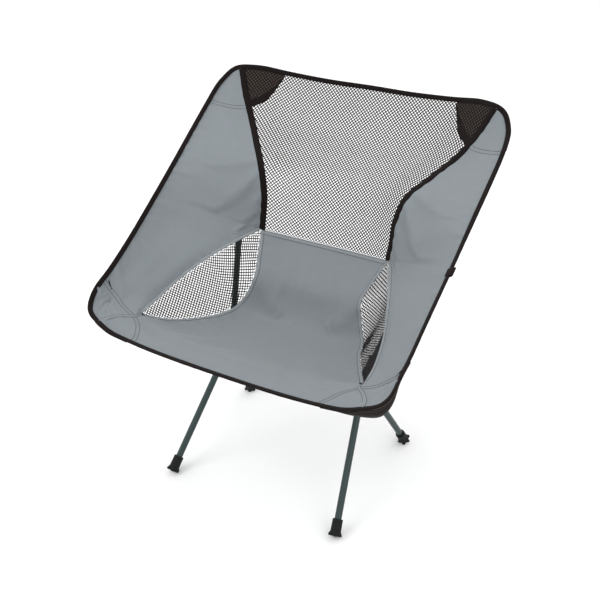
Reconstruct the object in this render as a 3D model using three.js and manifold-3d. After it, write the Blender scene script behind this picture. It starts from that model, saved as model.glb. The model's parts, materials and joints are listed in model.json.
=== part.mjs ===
// Ultralight backpacking chair: a shock-corded pole frame on two moulded hubs, and a sewn bucket sling
// stretched over the four pole tips.  Millimetres, +Z up, +X to the sitter's left, -Y towards the front.
// The right half (x > 0) is described once, and each paired piece is built for side = 1 and side = -1.
import * as THREE from "three";
import { mergeVertices } from "three/addons/utils/BufferGeometryUtils.js";
import Module from "manifold-3d";

const wasm = await Module();
wasm.setup();

// ---------------------------------------------------------------- driving dimensions
const MID_Y = 28; // from the middle between the feet back to the middle of the whole chair
const GAP = 0.35; // clearance between neighbouring pieces
const SEAM_GAP = 0.8; // the same between neighbouring cloth pieces

const TUBE_R = 6;
const TUBE_WALL = 0.8;
const FERRULE_R = 4.8;
const FERRULE_LENGTH = 70;
const CORD_R = 1.4;

const HUB = [134, 18, 212]; // where the axes of the five tubes meet in the right hub
const HUB_CORE_R = 13;
const SOCKET_R = 9;
const SOCKET_FLOOR = 14; // from the hub's centre out to the bottom of each socket
const SOCKET_MOUTH = 46;

const FRONT_FOOT = [167.8, -151, 0]; // where each leg's axis meets the ground
const REAR_FOOT = [176, 150, 0];
const FOOT_RIM_R = 11.2;
const FOOT_LOBE = 2;
const FOOT_LOBES = 6;
const FOOT_RIM_T = 7;
const FOOT_COLLAR_R = 8.8;
const FOOT_LENGTH = 28;
const FOOT_SOLE = 8; // thickness of rubber under the tube's end
const FOOT_WEAR = 2.6; // how far the lower edge of the sloping sole is worn flat
const LEG_CORD_SHORT = 50; // length of leg left empty below the cord's end, for the leg to pull out

const POLE_ELBOW = [179, 127, 404]; // joint between the lower and upper back pole
const ELBOW_STRAIGHT = 30; // straight start of the upper back pole, then its bend
const ELBOW_BEND = 50;
const TIP_R = 7.4;
const TIP_LENGTH = 20;
const TIP_FLOOR = 3; // solid end of a tip, from the centre of its ball back to the bore
const TIP_DEPTH = 10; // tip's centre behind the sling's middle surface

const FABRIC_T = 1.2;
const MESH_T = 1.0;
const BINDING_T = 3;
const BINDING_W = 8;
const TAPE_W = 8;
const TAPE_T = 1.8;
const TAB_W = 6;
const TAB_T = 2.6;
const TAB_HALF = 0.012; // half the tab's length and its place, as shares of the side edge
const TAB_AT = 0.4485;
const POCKET_T = 1.4;
const POCKET_BULGE = 30;
const POCKET_FRONT_WIDTH = 2.2; // how fast a pocket narrows round its pole: higher is narrower
const POCKET_REAR_WIDTH = 0.6;
const POCKET_STANDOFF = 4.5; // from the sling to the pocket's edge in the binding

// Edges and seams of the sling's right half.
const FRONT_EDGE = [[0, -235, 334], [110, -234, 335], [170, -232, 338], [208, -233, 345], [231, -229, 353]];
const SIDE_EDGE = [
  [231, -229, 353], [256, -219, 360], [266, -203, 371], [268, -183, 387], [269, -150, 400],
  [270, -90, 432], [273, -12, 478], [276, 60, 522], [279, 130, 566], [280, 185, 602],
  [277, 214, 625], [270, 228, 637], [259, 239, 650], [243, 243, 657],
];
const TOP_EDGE = [[243, 243, 657], [207, 262, 651], [163, 278, 644], [80, 288, 641], [0, 290, 641]];
const BACK_SEAM = [
  [243, 243, 657], [223, 225, 610], [200, 206, 573], [169, 171, 541], [140, 138, 510],
  [128, 127, 467], [127, 122, 430], [126, 115, 400],
];
const WINDOW_TOP = [
  [202, -152, 337], [200, -112, 343], [190, -55, 360], [171, 2, 379], [147, 64, 392], [126, 115, 400],
];
const WINDOW_LOW = [
  [202, -152, 337], [183, -106, 309], [160, -60, 293], [137, -11, 284], [126, 25, 286],
  [113, 43, 310], [105, 56, 343], [113, 80, 369], [126, 115, 400],
];
const REAR_SEAM = [[126, 115, 400], [70, 134, 390], [0, 140, 387]];
const CORNER_SEAM = [[231, -229, 353], [213, -196, 344], [203, -170, 341], [202, -152, 337]];
const FRONT_POCKET_ARC = [[170, -226, 336], [196, -178, 335], [222, -166, 351], [262, -154, 389]];
const REAR_POCKET_ARC = [[271, 190, 599], [244, 210, 587], [215, 218, 591], [186, 240, 609], [170, 270, 635]];

// ---------------------------------------------------------------- finishes
const finish = (color, roughness, metalness) => () =>
  new THREE.MeshStandardMaterial({ color, roughness, metalness });
const anodised = finish(0x425050, 0.35, 0.9);
const nylon = finish(0x1c1e20, 0.55, 0);
const rubber = finish(0x17181a, 0.8, 0);
const elastic = finish(0x2a2c30, 0.9, 0);
const greyFabric = finish(0x8b9296, 0.85, 0);
const blackMesh = finish(0x1b1a1c, 0.8, 0);
const blackTape = finish(0x241c1a, 0.85, 0);

// ---------------------------------------------------------------- points and curves
const point = ([x, y, z], side = 1) => new THREE.Vector3(side * x, y - MID_Y, z);

/** Smooth curves through lists of points, end to end, read by their share of the whole length. */
function curve(lists, side = 1) {
  const path = new THREE.CurvePath();
  for (const points of lists) {
    path.add(new THREE.CatmullRomCurve3(points.map((p) => point(p, side)), false, "centripetal"));
  }
  for (const part of path.curves) {
    part.arcLengthDivisions = 300;
  }
  return (t) => path.getPoint(THREE.MathUtils.clamp(t, 0, 1));
}

/** Curve from the left end of a half list, over the middle of the chair, to its right end. */
function acrossCurve(fromMiddle) {
  const left = fromMiddle.slice(1).reverse().map(([x, y, z]) => [-x, y, z]);
  return curve([[...left, ...fromMiddle]]);
}

/** Four-sided surface blended from its edges: u runs along start and finish, v along the two sides. */
function coons(start, finish, sideA, sideB) {
  return (u, v) => {
    const along = start(u).lerp(finish(u), v);
    const across = sideA(v).lerp(sideB(v), u);
    const corners = start(0).lerp(start(1), u).lerp(finish(0).lerp(finish(1), u), v);
    return along.add(across).sub(corners);
  };
}

/** Ruled surface between two curves. */
const ruled = (from, to) => (u, v) => from(u).lerp(to(u), v);

/** The surface without its margins: near the v = 0 edge and near the far edge, in millimetres. */
function inset(surface, near, far = SEAM_GAP) {
  return (u, v) => {
    const length = surface(u, 0).distanceTo(surface(u, 1));
    return surface(u, THREE.MathUtils.lerp(near / length, 1 - far / length, v));
  };
}

/** The strip of a surface from a to b millimetres in from its v = 0 edge. */
function strip(surface, a, b) {
  return (u, v) => {
    const length = surface(u, 0).distanceTo(surface(u, 1));
    return surface(u, THREE.MathUtils.lerp(a / length, b / length, v));
  };
}

/** The same surface with u kept between two values. */
const trimU = (surface, u0, u1) => (u, v) => surface(THREE.MathUtils.lerp(u0, u1, u), v);

/** The same surface with its two directions exchanged. */
const turned = (surface) => (u, v) => surface(v, u);

/** Unit normal of a surface. */
function normalOf(surface, u, v) {
  const step = 0.01;
  const du = surface(Math.min(u + step, 1), v).sub(surface(Math.max(u - step, 0), v));
  const dv = surface(u, Math.min(v + step, 1)).sub(surface(u, Math.max(v - step, 0)));
  return du.cross(dv).normalize();
}

// ---------------------------------------------------------------- solids
/** Closed sheet of even thickness over a surface, with nu by nv cells. */
function sheetGeometry(surface, nu, nv, thickness) {
  const positions = [];
  const index = [];
  for (const half of [0.5, -0.5]) {
    for (let i = 0; i <= nu; i++) {
      for (let j = 0; j <= nv; j++) {
        const offset = normalOf(surface, i / nu, j / nv).multiplyScalar(half * thickness);
        positions.push(...surface(i / nu, j / nv).add(offset));
      }
    }
  }
  const row = nv + 1;
  const layer = (nu + 1) * row;
  const quad = (a, b, c, d) => index.push(a, b, c, a, c, d);
  for (let i = 0; i < nu; i++) {
    for (let j = 0; j < nv; j++) {
      const a = i * row + j;
      quad(a, a + row, a + row + 1, a + 1);
      quad(layer + a, layer + a + 1, layer + a + row + 1, layer + a + row);
    }
    const low = i * row;
    const high = low + nv;
    quad(low, layer + low, layer + low + row, low + row);
    quad(high, high + row, layer + high + row, layer + high);
  }
  for (let j = 0; j < nv; j++) {
    const last = nu * row + j;
    quad(j, j + 1, layer + j + 1, layer + j);
    quad(last, layer + last, layer + last + 1, last + 1);
  }
  const geometry = new THREE.BufferGeometry();
  geometry.setAttribute("position", new THREE.Float32BufferAttribute(positions, 3));
  geometry.setIndex(index);
  return geometry;
}

/** Hollow or solid round bar standing on the origin along +Y. */
function barGeometry(outer, inner, length, sides = 14) {
  const profile = [[inner, 0], [outer, 0], [outer, length], [inner, length], [inner, 0]];
  return new THREE.LatheGeometry(profile.map(([x, y]) => new THREE.Vector2(x, y)), sides);
}

/** Rod of a round section along a path. */
function pathGeometry(path, outer, inner, steps, sides = 14) {
  const shape = new THREE.Shape().absarc(0, 0, outer, 0, 2 * Math.PI);
  if (inner > 0) {
    shape.holes.push(new THREE.Path().absarc(0, 0, inner, 0, 2 * Math.PI, true));
  }
  return new THREE.ExtrudeGeometry(shape, { extrudePath: path, steps, curveSegments: sides / 2 });
}

/** Turns a +Y geometry to a direction and moves it to a start point. */
function aimed(geometry, start, direction) {
  const turn = new THREE.Quaternion().setFromUnitVectors(new THREE.Vector3(0, 1, 0), direction);
  return geometry.applyQuaternion(turn).translate(start.x, start.y, start.z);
}

/** A closed geometry as a solid that can be joined and cut. */
function toSolid(geometry) {
  const bare = geometry.clone();
  bare.deleteAttribute("normal");
  bare.deleteAttribute("uv");
  const merged = mergeVertices(bare, 1e-4);
  return new wasm.Manifold(new wasm.Mesh({
    numProp: 3,
    vertProperties: new Float32Array(merged.attributes.position.array),
    triVerts: new Uint32Array(merged.index.array),
  }));
}

/** A solid back as a geometry. */
function toGeometry(solid) {
  const mesh = solid.getMesh();
  const geometry = new THREE.BufferGeometry();
  geometry.setAttribute("position", new THREE.Float32BufferAttribute(mesh.vertProperties, 3));
  geometry.setIndex([...mesh.triVerts]);
  return geometry;
}

/** Volume inside a geometry's faces, negative when they point inwards. */
function signedVolume(geometry) {
  const flat = geometry.index ? geometry.toNonIndexed() : geometry;
  const p = flat.attributes.position;
  const [a, b, c] = [new THREE.Vector3(), new THREE.Vector3(), new THREE.Vector3()];
  let volume = 0;
  for (let i = 0; i < p.count; i += 3) {
    a.fromBufferAttribute(p, i);
    b.fromBufferAttribute(p, i + 1);
    c.fromBufferAttribute(p, i + 2);
    volume += a.dot(b.cross(c)) / 6;
  }
  return volume;
}

const chair = new THREE.Group();

/** Adds a named piece with its faces pointing outwards. */
function add(name, geometry, material) {
  if (signedVolume(geometry) < 0) {
    const count = geometry.attributes.position.count;
    const index = geometry.index ? [...geometry.index.array] : [...Array(count).keys()];
    geometry.setIndex(index.reverse());
  }
  const piece = new THREE.Mesh(geometry, material());
  piece.name = name;
  chair.add(piece);
}

// ---------------------------------------------------------------- frame
/** Straight line from one point towards another. */
function axisOf(from, to) {
  const direction = to.clone().sub(from).normalize();
  const at = (mm) => from.clone().addScaledVector(direction, mm);
  return { from, direction, at, length: from.distanceTo(to) };
}

/** Moulded hub with five sockets. */
function hubGeometry(centre, axes) {
  const bar = (axis, r, from, to) => toSolid(
    aimed(new THREE.CylinderGeometry(r, r, to - from, 12), axis.at((from + to) / 2), axis.direction),
  );
  let solid = toSolid(new THREE.SphereGeometry(HUB_CORE_R, 12, 8).translate(centre.x, centre.y, centre.z));
  for (const axis of axes) {
    solid = solid.add(bar(axis, SOCKET_R, 0, SOCKET_MOUTH));
    solid = solid.add(bar(axis, SOCKET_R + 1.2, SOCKET_MOUTH - 5, SOCKET_MOUTH));
  }
  for (const axis of axes) {
    solid = solid.subtract(bar(axis, TUBE_R + GAP, SOCKET_FLOOR, SOCKET_MOUTH + 5));
  }
  return toGeometry(solid);
}

/** Rubber foot round the end of a leg, with a lobed rim, cut flat at the ground. */
function footGeometry(axis, sole) {
  const outline = new THREE.Shape();
  const corners = FOOT_LOBES * 4;
  for (let i = 0; i < corners; i++) {
    const angle = (2 * Math.PI * i) / corners;
    const r = FOOT_RIM_R + FOOT_LOBE * Math.cos(FOOT_LOBES * angle);
    outline[i ? "lineTo" : "moveTo"](r * Math.cos(angle), r * Math.sin(angle));
  }
  const rim = new THREE.ExtrudeGeometry(outline, { depth: FOOT_RIM_T, bevelEnabled: false });
  rim.rotateX(-Math.PI / 2);
  const collar = new THREE.CylinderGeometry(FOOT_COLLAR_R, FOOT_COLLAR_R, FOOT_LENGTH - 2, 14)
    .translate(0, FOOT_LENGTH / 2 + 1, 0);
  const bore = new THREE.CylinderGeometry(TUBE_R + GAP, TUBE_R + GAP, FOOT_LENGTH, 14)
    .translate(0, FOOT_SOLE + FOOT_LENGTH / 2, 0);
  const up = axis.direction.clone().negate();
  const place = (geometry) => toSolid(aimed(geometry, sole, up));
  const ground = toSolid(new THREE.BoxGeometry(80, 80, 40).translate(sole.x, sole.y, -20));
  return toGeometry(place(rim).add(place(collar)).subtract(place(bore)).subtract(ground));
}

/** Elastic cord along an axis, from one distance to another. */
function addCord(name, axis, from, to) {
  const cord = new THREE.CylinderGeometry(CORD_R, CORD_R, to - from, 8);
  add(name, aimed(cord, axis.at((from + to) / 2), axis.direction), elastic);
}

/** One leg with its foot and the elastic cord inside. */
function addLeg(name, hub, footPoint) {
  const axis = axisOf(hub, footPoint);
  const slope = Math.acos(-axis.direction.z);
  const rise = (FOOT_RIM_R + FOOT_LOBE) * Math.sin(slope) - FOOT_WEAR;
  const soleAt = axis.length - rise / Math.cos(slope);
  const start = SOCKET_FLOOR + GAP;
  const end = soleAt - FOOT_SOLE - GAP;
  const tube = barGeometry(TUBE_R, TUBE_R - TUBE_WALL, end - start);
  add(`leg_${name}`, aimed(tube, axis.at(start), axis.direction), anodised);
  add(`foot_${name}`, footGeometry(axis, axis.at(soleAt)), rubber);
  addCord(`leg_cord_${name}`, axis, start + 1, end - LEG_CORD_SHORT);
  return axis;
}

/** Moulded ball tip pushed onto the end of a pole. */
function tipGeometry(centre, direction) {
  const ball = new THREE.SphereGeometry(TIP_R, 14, 8).translate(centre.x, centre.y, centre.z);
  const neckMiddle = centre.clone().addScaledVector(direction, -TIP_LENGTH / 2);
  const neck = aimed(new THREE.CylinderGeometry(TIP_R, TIP_R, TIP_LENGTH, 14), neckMiddle, direction);
  const boreMiddle = centre.clone().addScaledVector(direction, -TIP_LENGTH / 2 - TIP_FLOOR);
  const boreR = TUBE_R + GAP;
  const bore = aimed(new THREE.CylinderGeometry(boreR, boreR, TIP_LENGTH, 14), boreMiddle, direction);
  return toGeometry(toSolid(ball).add(toSolid(neck)).subtract(toSolid(bore)));
}

/** Where a pole tip sits: behind the sling near its corner. */
function tipCentre(surface, u, fromEdge, away) {
  const onSling = inset(surface, fromEdge)(u, 0);
  const normal = normalOf(surface, u, 0.1);
  return onSling.addScaledVector(normal, Math.sign(normal.dot(away)) * TIP_DEPTH);
}

/** Everything on one side of the frame. */
function addFrameSide(side, word, sidePanel) {
  const hub = point(HUB, side);
  const frontLeg = addLeg(`front_${word}`, hub, point(FRONT_FOOT, side));
  const rearLeg = addLeg(`rear_${word}`, hub, point(REAR_FOOT, side));
  const crossAxis = axisOf(hub, new THREE.Vector3(0, hub.y, hub.z));

  const frontTip = tipCentre(sidePanel, 0.045, 27, new THREE.Vector3(side, 0, -2));
  const seatAxis = axisOf(hub, frontTip);
  const seatEnd = seatAxis.length - TIP_FLOOR - GAP;
  const seatPole = barGeometry(TUBE_R, TUBE_R - TUBE_WALL, seatEnd - SOCKET_FLOOR - GAP);
  add(`seat_pole_${word}`, aimed(seatPole, seatAxis.at(SOCKET_FLOOR + GAP), seatAxis.direction), anodised);
  addCord(`seat_pole_cord_${word}`, seatAxis, SOCKET_FLOOR + 2 * GAP, seatEnd - GAP);
  add(`pole_tip_front_${word}`, tipGeometry(frontTip, seatAxis.direction), nylon);

  const elbow = point(POLE_ELBOW, side);
  const lowerAxis = axisOf(hub, elbow);
  const lowerLength = lowerAxis.length - SOCKET_FLOOR - 2 * GAP;
  const lowerPole = barGeometry(TUBE_R, TUBE_R - TUBE_WALL, lowerLength);
  const lowerStart = lowerAxis.at(SOCKET_FLOOR + GAP);
  add(`back_pole_lower_${word}`, aimed(lowerPole, lowerStart, lowerAxis.direction), anodised);
  const ferrule = barGeometry(FERRULE_R, FERRULE_R - TUBE_WALL, FERRULE_LENGTH);
  const ferruleStart = lowerAxis.at(lowerAxis.length - FERRULE_LENGTH + ELBOW_STRAIGHT);
  add(`ferrule_${word}`, aimed(ferrule, ferruleStart, lowerAxis.direction), anodised);
  addCord(`back_pole_cord_${word}`, lowerAxis, SOCKET_FLOOR + 2 * GAP, lowerAxis.length + ELBOW_STRAIGHT);

  const rearTip = tipCentre(sidePanel, 0.925, 23, new THREE.Vector3(0, 1, 0));
  const bend = lowerAxis.at(lowerAxis.length + ELBOW_STRAIGHT + ELBOW_BEND / 2);
  const upper = axisOf(bend, rearTip);
  const upperPath = new THREE.CurvePath();
  const straightEnd = lowerAxis.at(lowerAxis.length + ELBOW_STRAIGHT);
  upperPath.add(new THREE.LineCurve3(elbow, straightEnd));
  upperPath.add(new THREE.QuadraticBezierCurve3(straightEnd, bend, upper.at(ELBOW_BEND / 2)));
  upperPath.add(new THREE.LineCurve3(upper.at(ELBOW_BEND / 2), upper.at(upper.length - TIP_FLOOR - GAP)));
  add(`back_pole_upper_${word}`, pathGeometry(upperPath, TUBE_R, TUBE_R - TUBE_WALL, 9), anodised);
  add(`pole_tip_rear_${word}`, tipGeometry(rearTip, upper.direction), nylon);
  add(`hub_${word}`, hubGeometry(hub, [frontLeg, rearLeg, crossAxis, seatAxis, lowerAxis]), nylon);
}

/** Crossbar between the two hubs. */
function addCrossbar() {
  const reach = HUB[0] - SOCKET_FLOOR - GAP;
  const axis = axisOf(point([-reach, HUB[1], HUB[2]]), point([reach, HUB[1], HUB[2]]));
  const bar = barGeometry(TUBE_R, TUBE_R - TUBE_WALL, axis.length);
  add("crossbar", aimed(bar, axis.from, axis.direction), anodised);
  addCord("crossbar_cord", axis, 2, axis.length - 2);
}

// ---------------------------------------------------------------- sling
const sidePanelOf = (side) =>
  ruled(curve([SIDE_EDGE], side), curve([WINDOW_TOP, [...BACK_SEAM].reverse()], side));
const seatSurface = coons(
  acrossCurve(FRONT_EDGE),
  acrossCurve([...REAR_SEAM].reverse()),
  curve([CORNER_SEAM, WINDOW_LOW], -1),
  curve([CORNER_SEAM, WINDOW_LOW], 1),
);
const backSurface = coons(
  acrossCurve([...TOP_EDGE].reverse()),
  acrossCurve([...REAR_SEAM].reverse()),
  curve([BACK_SEAM], -1),
  curve([BACK_SEAM], 1),
);

/** Pocket under or behind a corner: from the edge in to a free hem that stands off the sling. */
function pocketSurface(rim, arc, away, width) {
  return (u, v) => {
    const swell = Math.sin(Math.PI * u) ** width * Math.sin((Math.PI / 2) * v) ** 0.35;
    const onSling = rim(u).lerp(arc(u), THREE.MathUtils.lerp(0.14, 0.9, v));
    return onSling.addScaledVector(away, POCKET_STANDOFF + POCKET_BULGE * swell);
  };
}

function addSlingSide(side, word, sidePanel) {
  const panel = trimU(sidePanel, 0.004, 0.95);
  add(`side_panel_${word}`, sheetGeometry(inset(panel, BINDING_W + SEAM_GAP), 28, 4, FABRIC_T), greyFabric);
  const edging = trimU(sidePanel, 0.001, 0.985);
  add(`binding_${word}`, sheetGeometry(strip(edging, 0, BINDING_W), 40, 1, BINDING_T), blackTape);

  const window = ruled(curve([WINDOW_TOP], side), curve([WINDOW_LOW], side));
  const pane = inset(trimU(window, 0.09, 0.93), 1.4 * SEAM_GAP, 1.4 * SEAM_GAP);
  add(`window_mesh_${word}`, sheetGeometry(pane, 16, 4, MESH_T), blackMesh);

  const across = side > 0 ? (u, v) => backSurface(1 - u, v) : backSurface;
  const tape = trimU(turned(across), 0.04, 0.995);
  add(`seam_tape_${word}`, sheetGeometry(strip(tape, SEAM_GAP / 2, TAPE_W), 24, 1, TAPE_T), blackTape);

  const frontRim = curve([[...FRONT_EDGE.slice(2), ...SIDE_EDGE.slice(1, 5)]], side);
  const frontAway = new THREE.Vector3(0.45 * side, 0.1, -1).normalize();
  const frontPocket = pocketSurface(frontRim, curve([FRONT_POCKET_ARC], side), frontAway, POCKET_FRONT_WIDTH);
  add(`pocket_front_${word}`, sheetGeometry(frontPocket, 14, 5, POCKET_T), blackTape);

  const rearRim = curve([[...SIDE_EDGE.slice(9), ...TOP_EDGE.slice(1, 3)]], side);
  const rearAway = new THREE.Vector3(0.15 * side, 1, -0.25).normalize();
  const rearPocket = pocketSurface(rearRim, curve([REAR_POCKET_ARC], side), rearAway, POCKET_REAR_WIDTH);
  add(`pocket_rear_${word}`, sheetGeometry(rearPocket, 14, 5, POCKET_T), blackTape);
}

/** Seat, back and their edgings. */
function addSlingMiddle() {
  const seat = trimU(seatSurface, 0.002, 0.998);
  add("seat_panel", sheetGeometry(inset(seat, BINDING_W + SEAM_GAP), 14, 16, FABRIC_T), greyFabric);
  const frontEdging = strip(trimU(seatSurface, 0.001, 0.999), 0, BINDING_W);
  add("binding_front", sheetGeometry(frontEdging, 22, 1, BINDING_T), blackTape);
  const back = (u, v) => {
    const width = backSurface(0, v).distanceTo(backSurface(1, v));
    const edge = (TAPE_W + SEAM_GAP) / width;
    return backSurface(THREE.MathUtils.lerp(edge, 1 - edge, u), v);
  };
  add("back_mesh", sheetGeometry(inset(back, BINDING_W + SEAM_GAP), 12, 11, MESH_T), blackMesh);
  const topEdging = strip(trimU(backSurface, 0.001, 0.999), 0, BINDING_W);
  add("binding_top", sheetGeometry(topEdging, 22, 1, BINDING_T), blackTape);
}

/** Folded webbing tab sewn to the outside of the right side edge. */
function addTab() {
  const place = trimU(sidePanelOf(1), TAB_AT - TAB_HALF, TAB_AT + TAB_HALF);
  add("loop_tab", sheetGeometry(strip(place, -GAP - TAB_W, -GAP), 3, 2, TAB_T), blackTape);
}

addCrossbar();
addSlingMiddle();
addTab();
for (const [side, word] of [[1, "right"], [-1, "left"]]) {
  const sidePanel = sidePanelOf(side);
  addFrameSide(side, word, sidePanel);
  addSlingSide(side, word, sidePanel);
}

export default chair;
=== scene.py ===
"""Ultralight backpacking chair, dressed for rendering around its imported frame.

The frame gives the bodies, the solids and their places.  This script lays the sewn sling over the same
outlines as the frame's cloth solids, knits the meshes, sews the seams, and finishes the poles, hubs, tips
and feet.  Lengths in the dataclasses are millimetres, with the origin on the ground between the feet;
point() takes them to metres in the frame's own place.
"""
import json
import logging
import math
from dataclasses import dataclass, field
from enum import Enum
from typing import Callable, Dict, List, Optional, Sequence, Tuple

import bmesh
import bpy
import numpy as np
from mathutils import Matrix, Vector
from mathutils.bvhtree import BVHTree

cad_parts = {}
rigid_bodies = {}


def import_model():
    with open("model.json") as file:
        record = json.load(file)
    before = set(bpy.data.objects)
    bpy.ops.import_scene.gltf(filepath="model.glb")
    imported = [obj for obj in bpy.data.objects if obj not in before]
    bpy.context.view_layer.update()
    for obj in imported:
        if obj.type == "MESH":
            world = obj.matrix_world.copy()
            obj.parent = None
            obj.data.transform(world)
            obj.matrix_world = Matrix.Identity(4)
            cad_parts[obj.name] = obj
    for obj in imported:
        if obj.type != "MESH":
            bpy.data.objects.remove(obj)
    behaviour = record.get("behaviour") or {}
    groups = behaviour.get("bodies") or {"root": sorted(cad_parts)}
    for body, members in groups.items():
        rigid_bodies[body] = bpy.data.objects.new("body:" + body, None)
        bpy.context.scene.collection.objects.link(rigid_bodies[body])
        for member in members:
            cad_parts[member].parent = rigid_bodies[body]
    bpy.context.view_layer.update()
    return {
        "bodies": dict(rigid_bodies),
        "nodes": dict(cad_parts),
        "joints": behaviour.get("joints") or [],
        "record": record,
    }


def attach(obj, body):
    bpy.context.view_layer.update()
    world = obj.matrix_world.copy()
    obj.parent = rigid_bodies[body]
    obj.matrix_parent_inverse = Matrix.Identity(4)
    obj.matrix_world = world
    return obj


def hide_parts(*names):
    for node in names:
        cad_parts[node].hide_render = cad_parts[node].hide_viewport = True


LOG = logging.getLogger("chair")
MM = 0.001
MID_Y = 28.0  # from the middle between the feet back to the middle of the whole chair
SLING_BODY = "sling_frame"
UV_MAP = "cloth"
DOUBLES = 1e-7  # points nearer than this are one

Array = np.ndarray
Pair = Tuple[float, float]
Triple = Tuple[float, float, float]
Points = Sequence[Sequence[float]]
Curve = Callable[[Array], Array]
Surface = Callable[[Array, Array], Array]
Socket = bpy.types.NodeSocket
Mesh = bpy.types.Mesh
Piece = bpy.types.Object


class Side(Enum):
    """The two halves of the chair."""

    RIGHT = 1
    LEFT = -1

    @property
    def word(self) -> str:
        """The side's name, as the frame's nodes spell it."""
        return self.name.lower()


class Slot(Enum):
    """The record's material slots."""

    TUBE = "anodised_tube"
    NYLON = "moulded_nylon"
    RUBBER = "foot_rubber"
    ELASTIC = "elastic_cord"
    FABRIC = "grey_fabric"
    NET = "black_mesh"
    WEBBING = "black_webbing"


# ---- curves and surfaces
def centripetal(points: Array, per_span: int = 24) -> Array:
    """Samples a centripetal Catmull-Rom spline.

    Args:
        points: the spline's own points, one row each.
        per_span: samples between two neighbouring points.

    Returns:
        The samples, from the first point to the last.
    """
    ends = np.vstack([2 * points[0] - points[1], points, 2 * points[-1] - points[-2]])
    t = np.linspace(0, 1, per_span, endpoint=False)[:, None]
    out: List[Array] = []
    for p0, p1, p2, p3 in zip(ends, ends[1:], ends[2:], ends[3:]):
        d0, d1, d2 = (math.sqrt(np.linalg.norm(b - a)) for a, b in ((p0, p1), (p1, p2), (p2, p3)))
        m1 = ((p1 - p0) / d0 - (p2 - p0) / (d0 + d1) + (p2 - p1) / d1) * d1
        m2 = ((p2 - p1) / d1 - (p3 - p1) / (d1 + d2) + (p3 - p2) / d2) * d1
        out.append(p1 + m1 * t + (3 * (p2 - p1) - 2 * m1 - m2) * t**2 + (2 * (p1 - p2) + m1 + m2) * t**3)
    return np.vstack(out + [points[-1:]])


def curve(lists: Sequence[Points], side: Side = Side.RIGHT) -> Curve:
    """Makes smooth curves through lists of points, end to end.

    Args:
        lists: one list of millimetre points for each smooth stretch.
        side: the half of the chair.

    Returns:
        A function from shares of the length to points in metres.
    """
    place = np.array([side.value, 1, 1])
    shift = np.array([0, MID_Y, 0])
    samples = [centripetal((np.array(points, float) * place - shift) * MM) for points in lists]
    line = np.vstack([samples[0]] + [s[1:] for s in samples[1:]])
    length = np.concatenate([[0], np.cumsum(np.linalg.norm(np.diff(line, axis=0), axis=1))])
    length /= length[-1]

    def at(t: Array) -> Array:
        """Points at shares of the length."""
        share = np.clip(np.asarray(t, float), 0, 1)
        return np.stack([np.interp(share, length, line[:, k]) for k in range(3)], axis=-1)

    return at


def across(from_middle: Points) -> Curve:
    """A curve from the left end of a half list, over the chair's middle, to its right end."""
    left = [(-x, y, z) for x, y, z in list(from_middle)[:0:-1]]
    return curve([left + [tuple(p) for p in from_middle]])


def ruled(start: Curve, finish: Curve) -> Surface:
    """Ruled surface between two curves, with u along them and v from one to the other."""
    return lambda u, v: start(u) * (1 - v)[..., None] + finish(u) * v[..., None]


def coons(start: Curve, finish: Curve, side_a: Curve, side_b: Curve) -> Surface:
    """Four-sided surface blended from its edges.

    Args:
        start: the edge at v = 0.
        finish: the edge at v = 1.
        side_a: the edge at u = 0.
        side_b: the edge at u = 1.

    Returns:
        The surface.
    """

    def at(u: Array, v: Array) -> Array:
        """Points of the surface."""
        a, b = u[..., None], v[..., None]
        along = start(u) * (1 - b) + finish(u) * b
        sides = side_a(v) * (1 - a) + side_b(v) * a
        zero, one = np.zeros_like(u), np.ones_like(u)
        near = start(zero) * (1 - a) + start(one) * a
        far = finish(zero) * (1 - a) + finish(one) * a
        return along + sides - near * (1 - b) - far * b

    return at


def lattice(u: Array, v: Array) -> Tuple[Array, Array]:
    """Two lists of parameters as a grid of pairs."""
    return np.meshgrid(u, v, indexing="ij")


def span_of(surface: Surface, u: Array, v: Array) -> Array:
    """The surface's straight width from v = 0 to v = 1, at each u."""
    return np.linalg.norm(surface(u, np.zeros_like(v)) - surface(u, np.ones_like(v)), axis=-1)


def inset(surface: Surface, near: float, far: float) -> Surface:
    """The surface without its margins.

    Args:
        surface: the whole surface.
        near: margin at the v = 0 edge, in metres.
        far: margin at the v = 1 edge, in metres.

    Returns:
        The smaller surface.
    """

    def at(u: Array, v: Array) -> Array:
        """Points of the smaller surface."""
        span = span_of(surface, u, v)
        low, high = near / span, 1 - far / span
        return surface(u, low + (high - low) * v)

    return at


def strip(surface: Surface, a: float, b: float) -> Surface:
    """The strip of a surface from a to b metres in from its v = 0 edge."""
    return lambda u, v: surface(u, (a + (b - a) * v) / span_of(surface, u, v))


def turned(surface: Surface) -> Surface:
    """The same surface with its two directions exchanged."""
    return lambda u, v: surface(v, u)


def flipped(surface: Surface) -> Surface:
    """The same surface read from its v = 1 edge."""
    return lambda u, v: surface(u, 1 - v)


def unit(vectors: Array) -> Array:
    """Vectors at length one."""
    return vectors / np.maximum(np.linalg.norm(vectors, axis=-1, keepdims=True), 1e-12)


def grid_normals(grid: Array) -> Array:
    """Unit normals of a grid of points, by the right-hand rule from rows to columns."""
    return unit(np.cross(np.gradient(grid, axis=0), np.gradient(grid, axis=1)))


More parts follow.
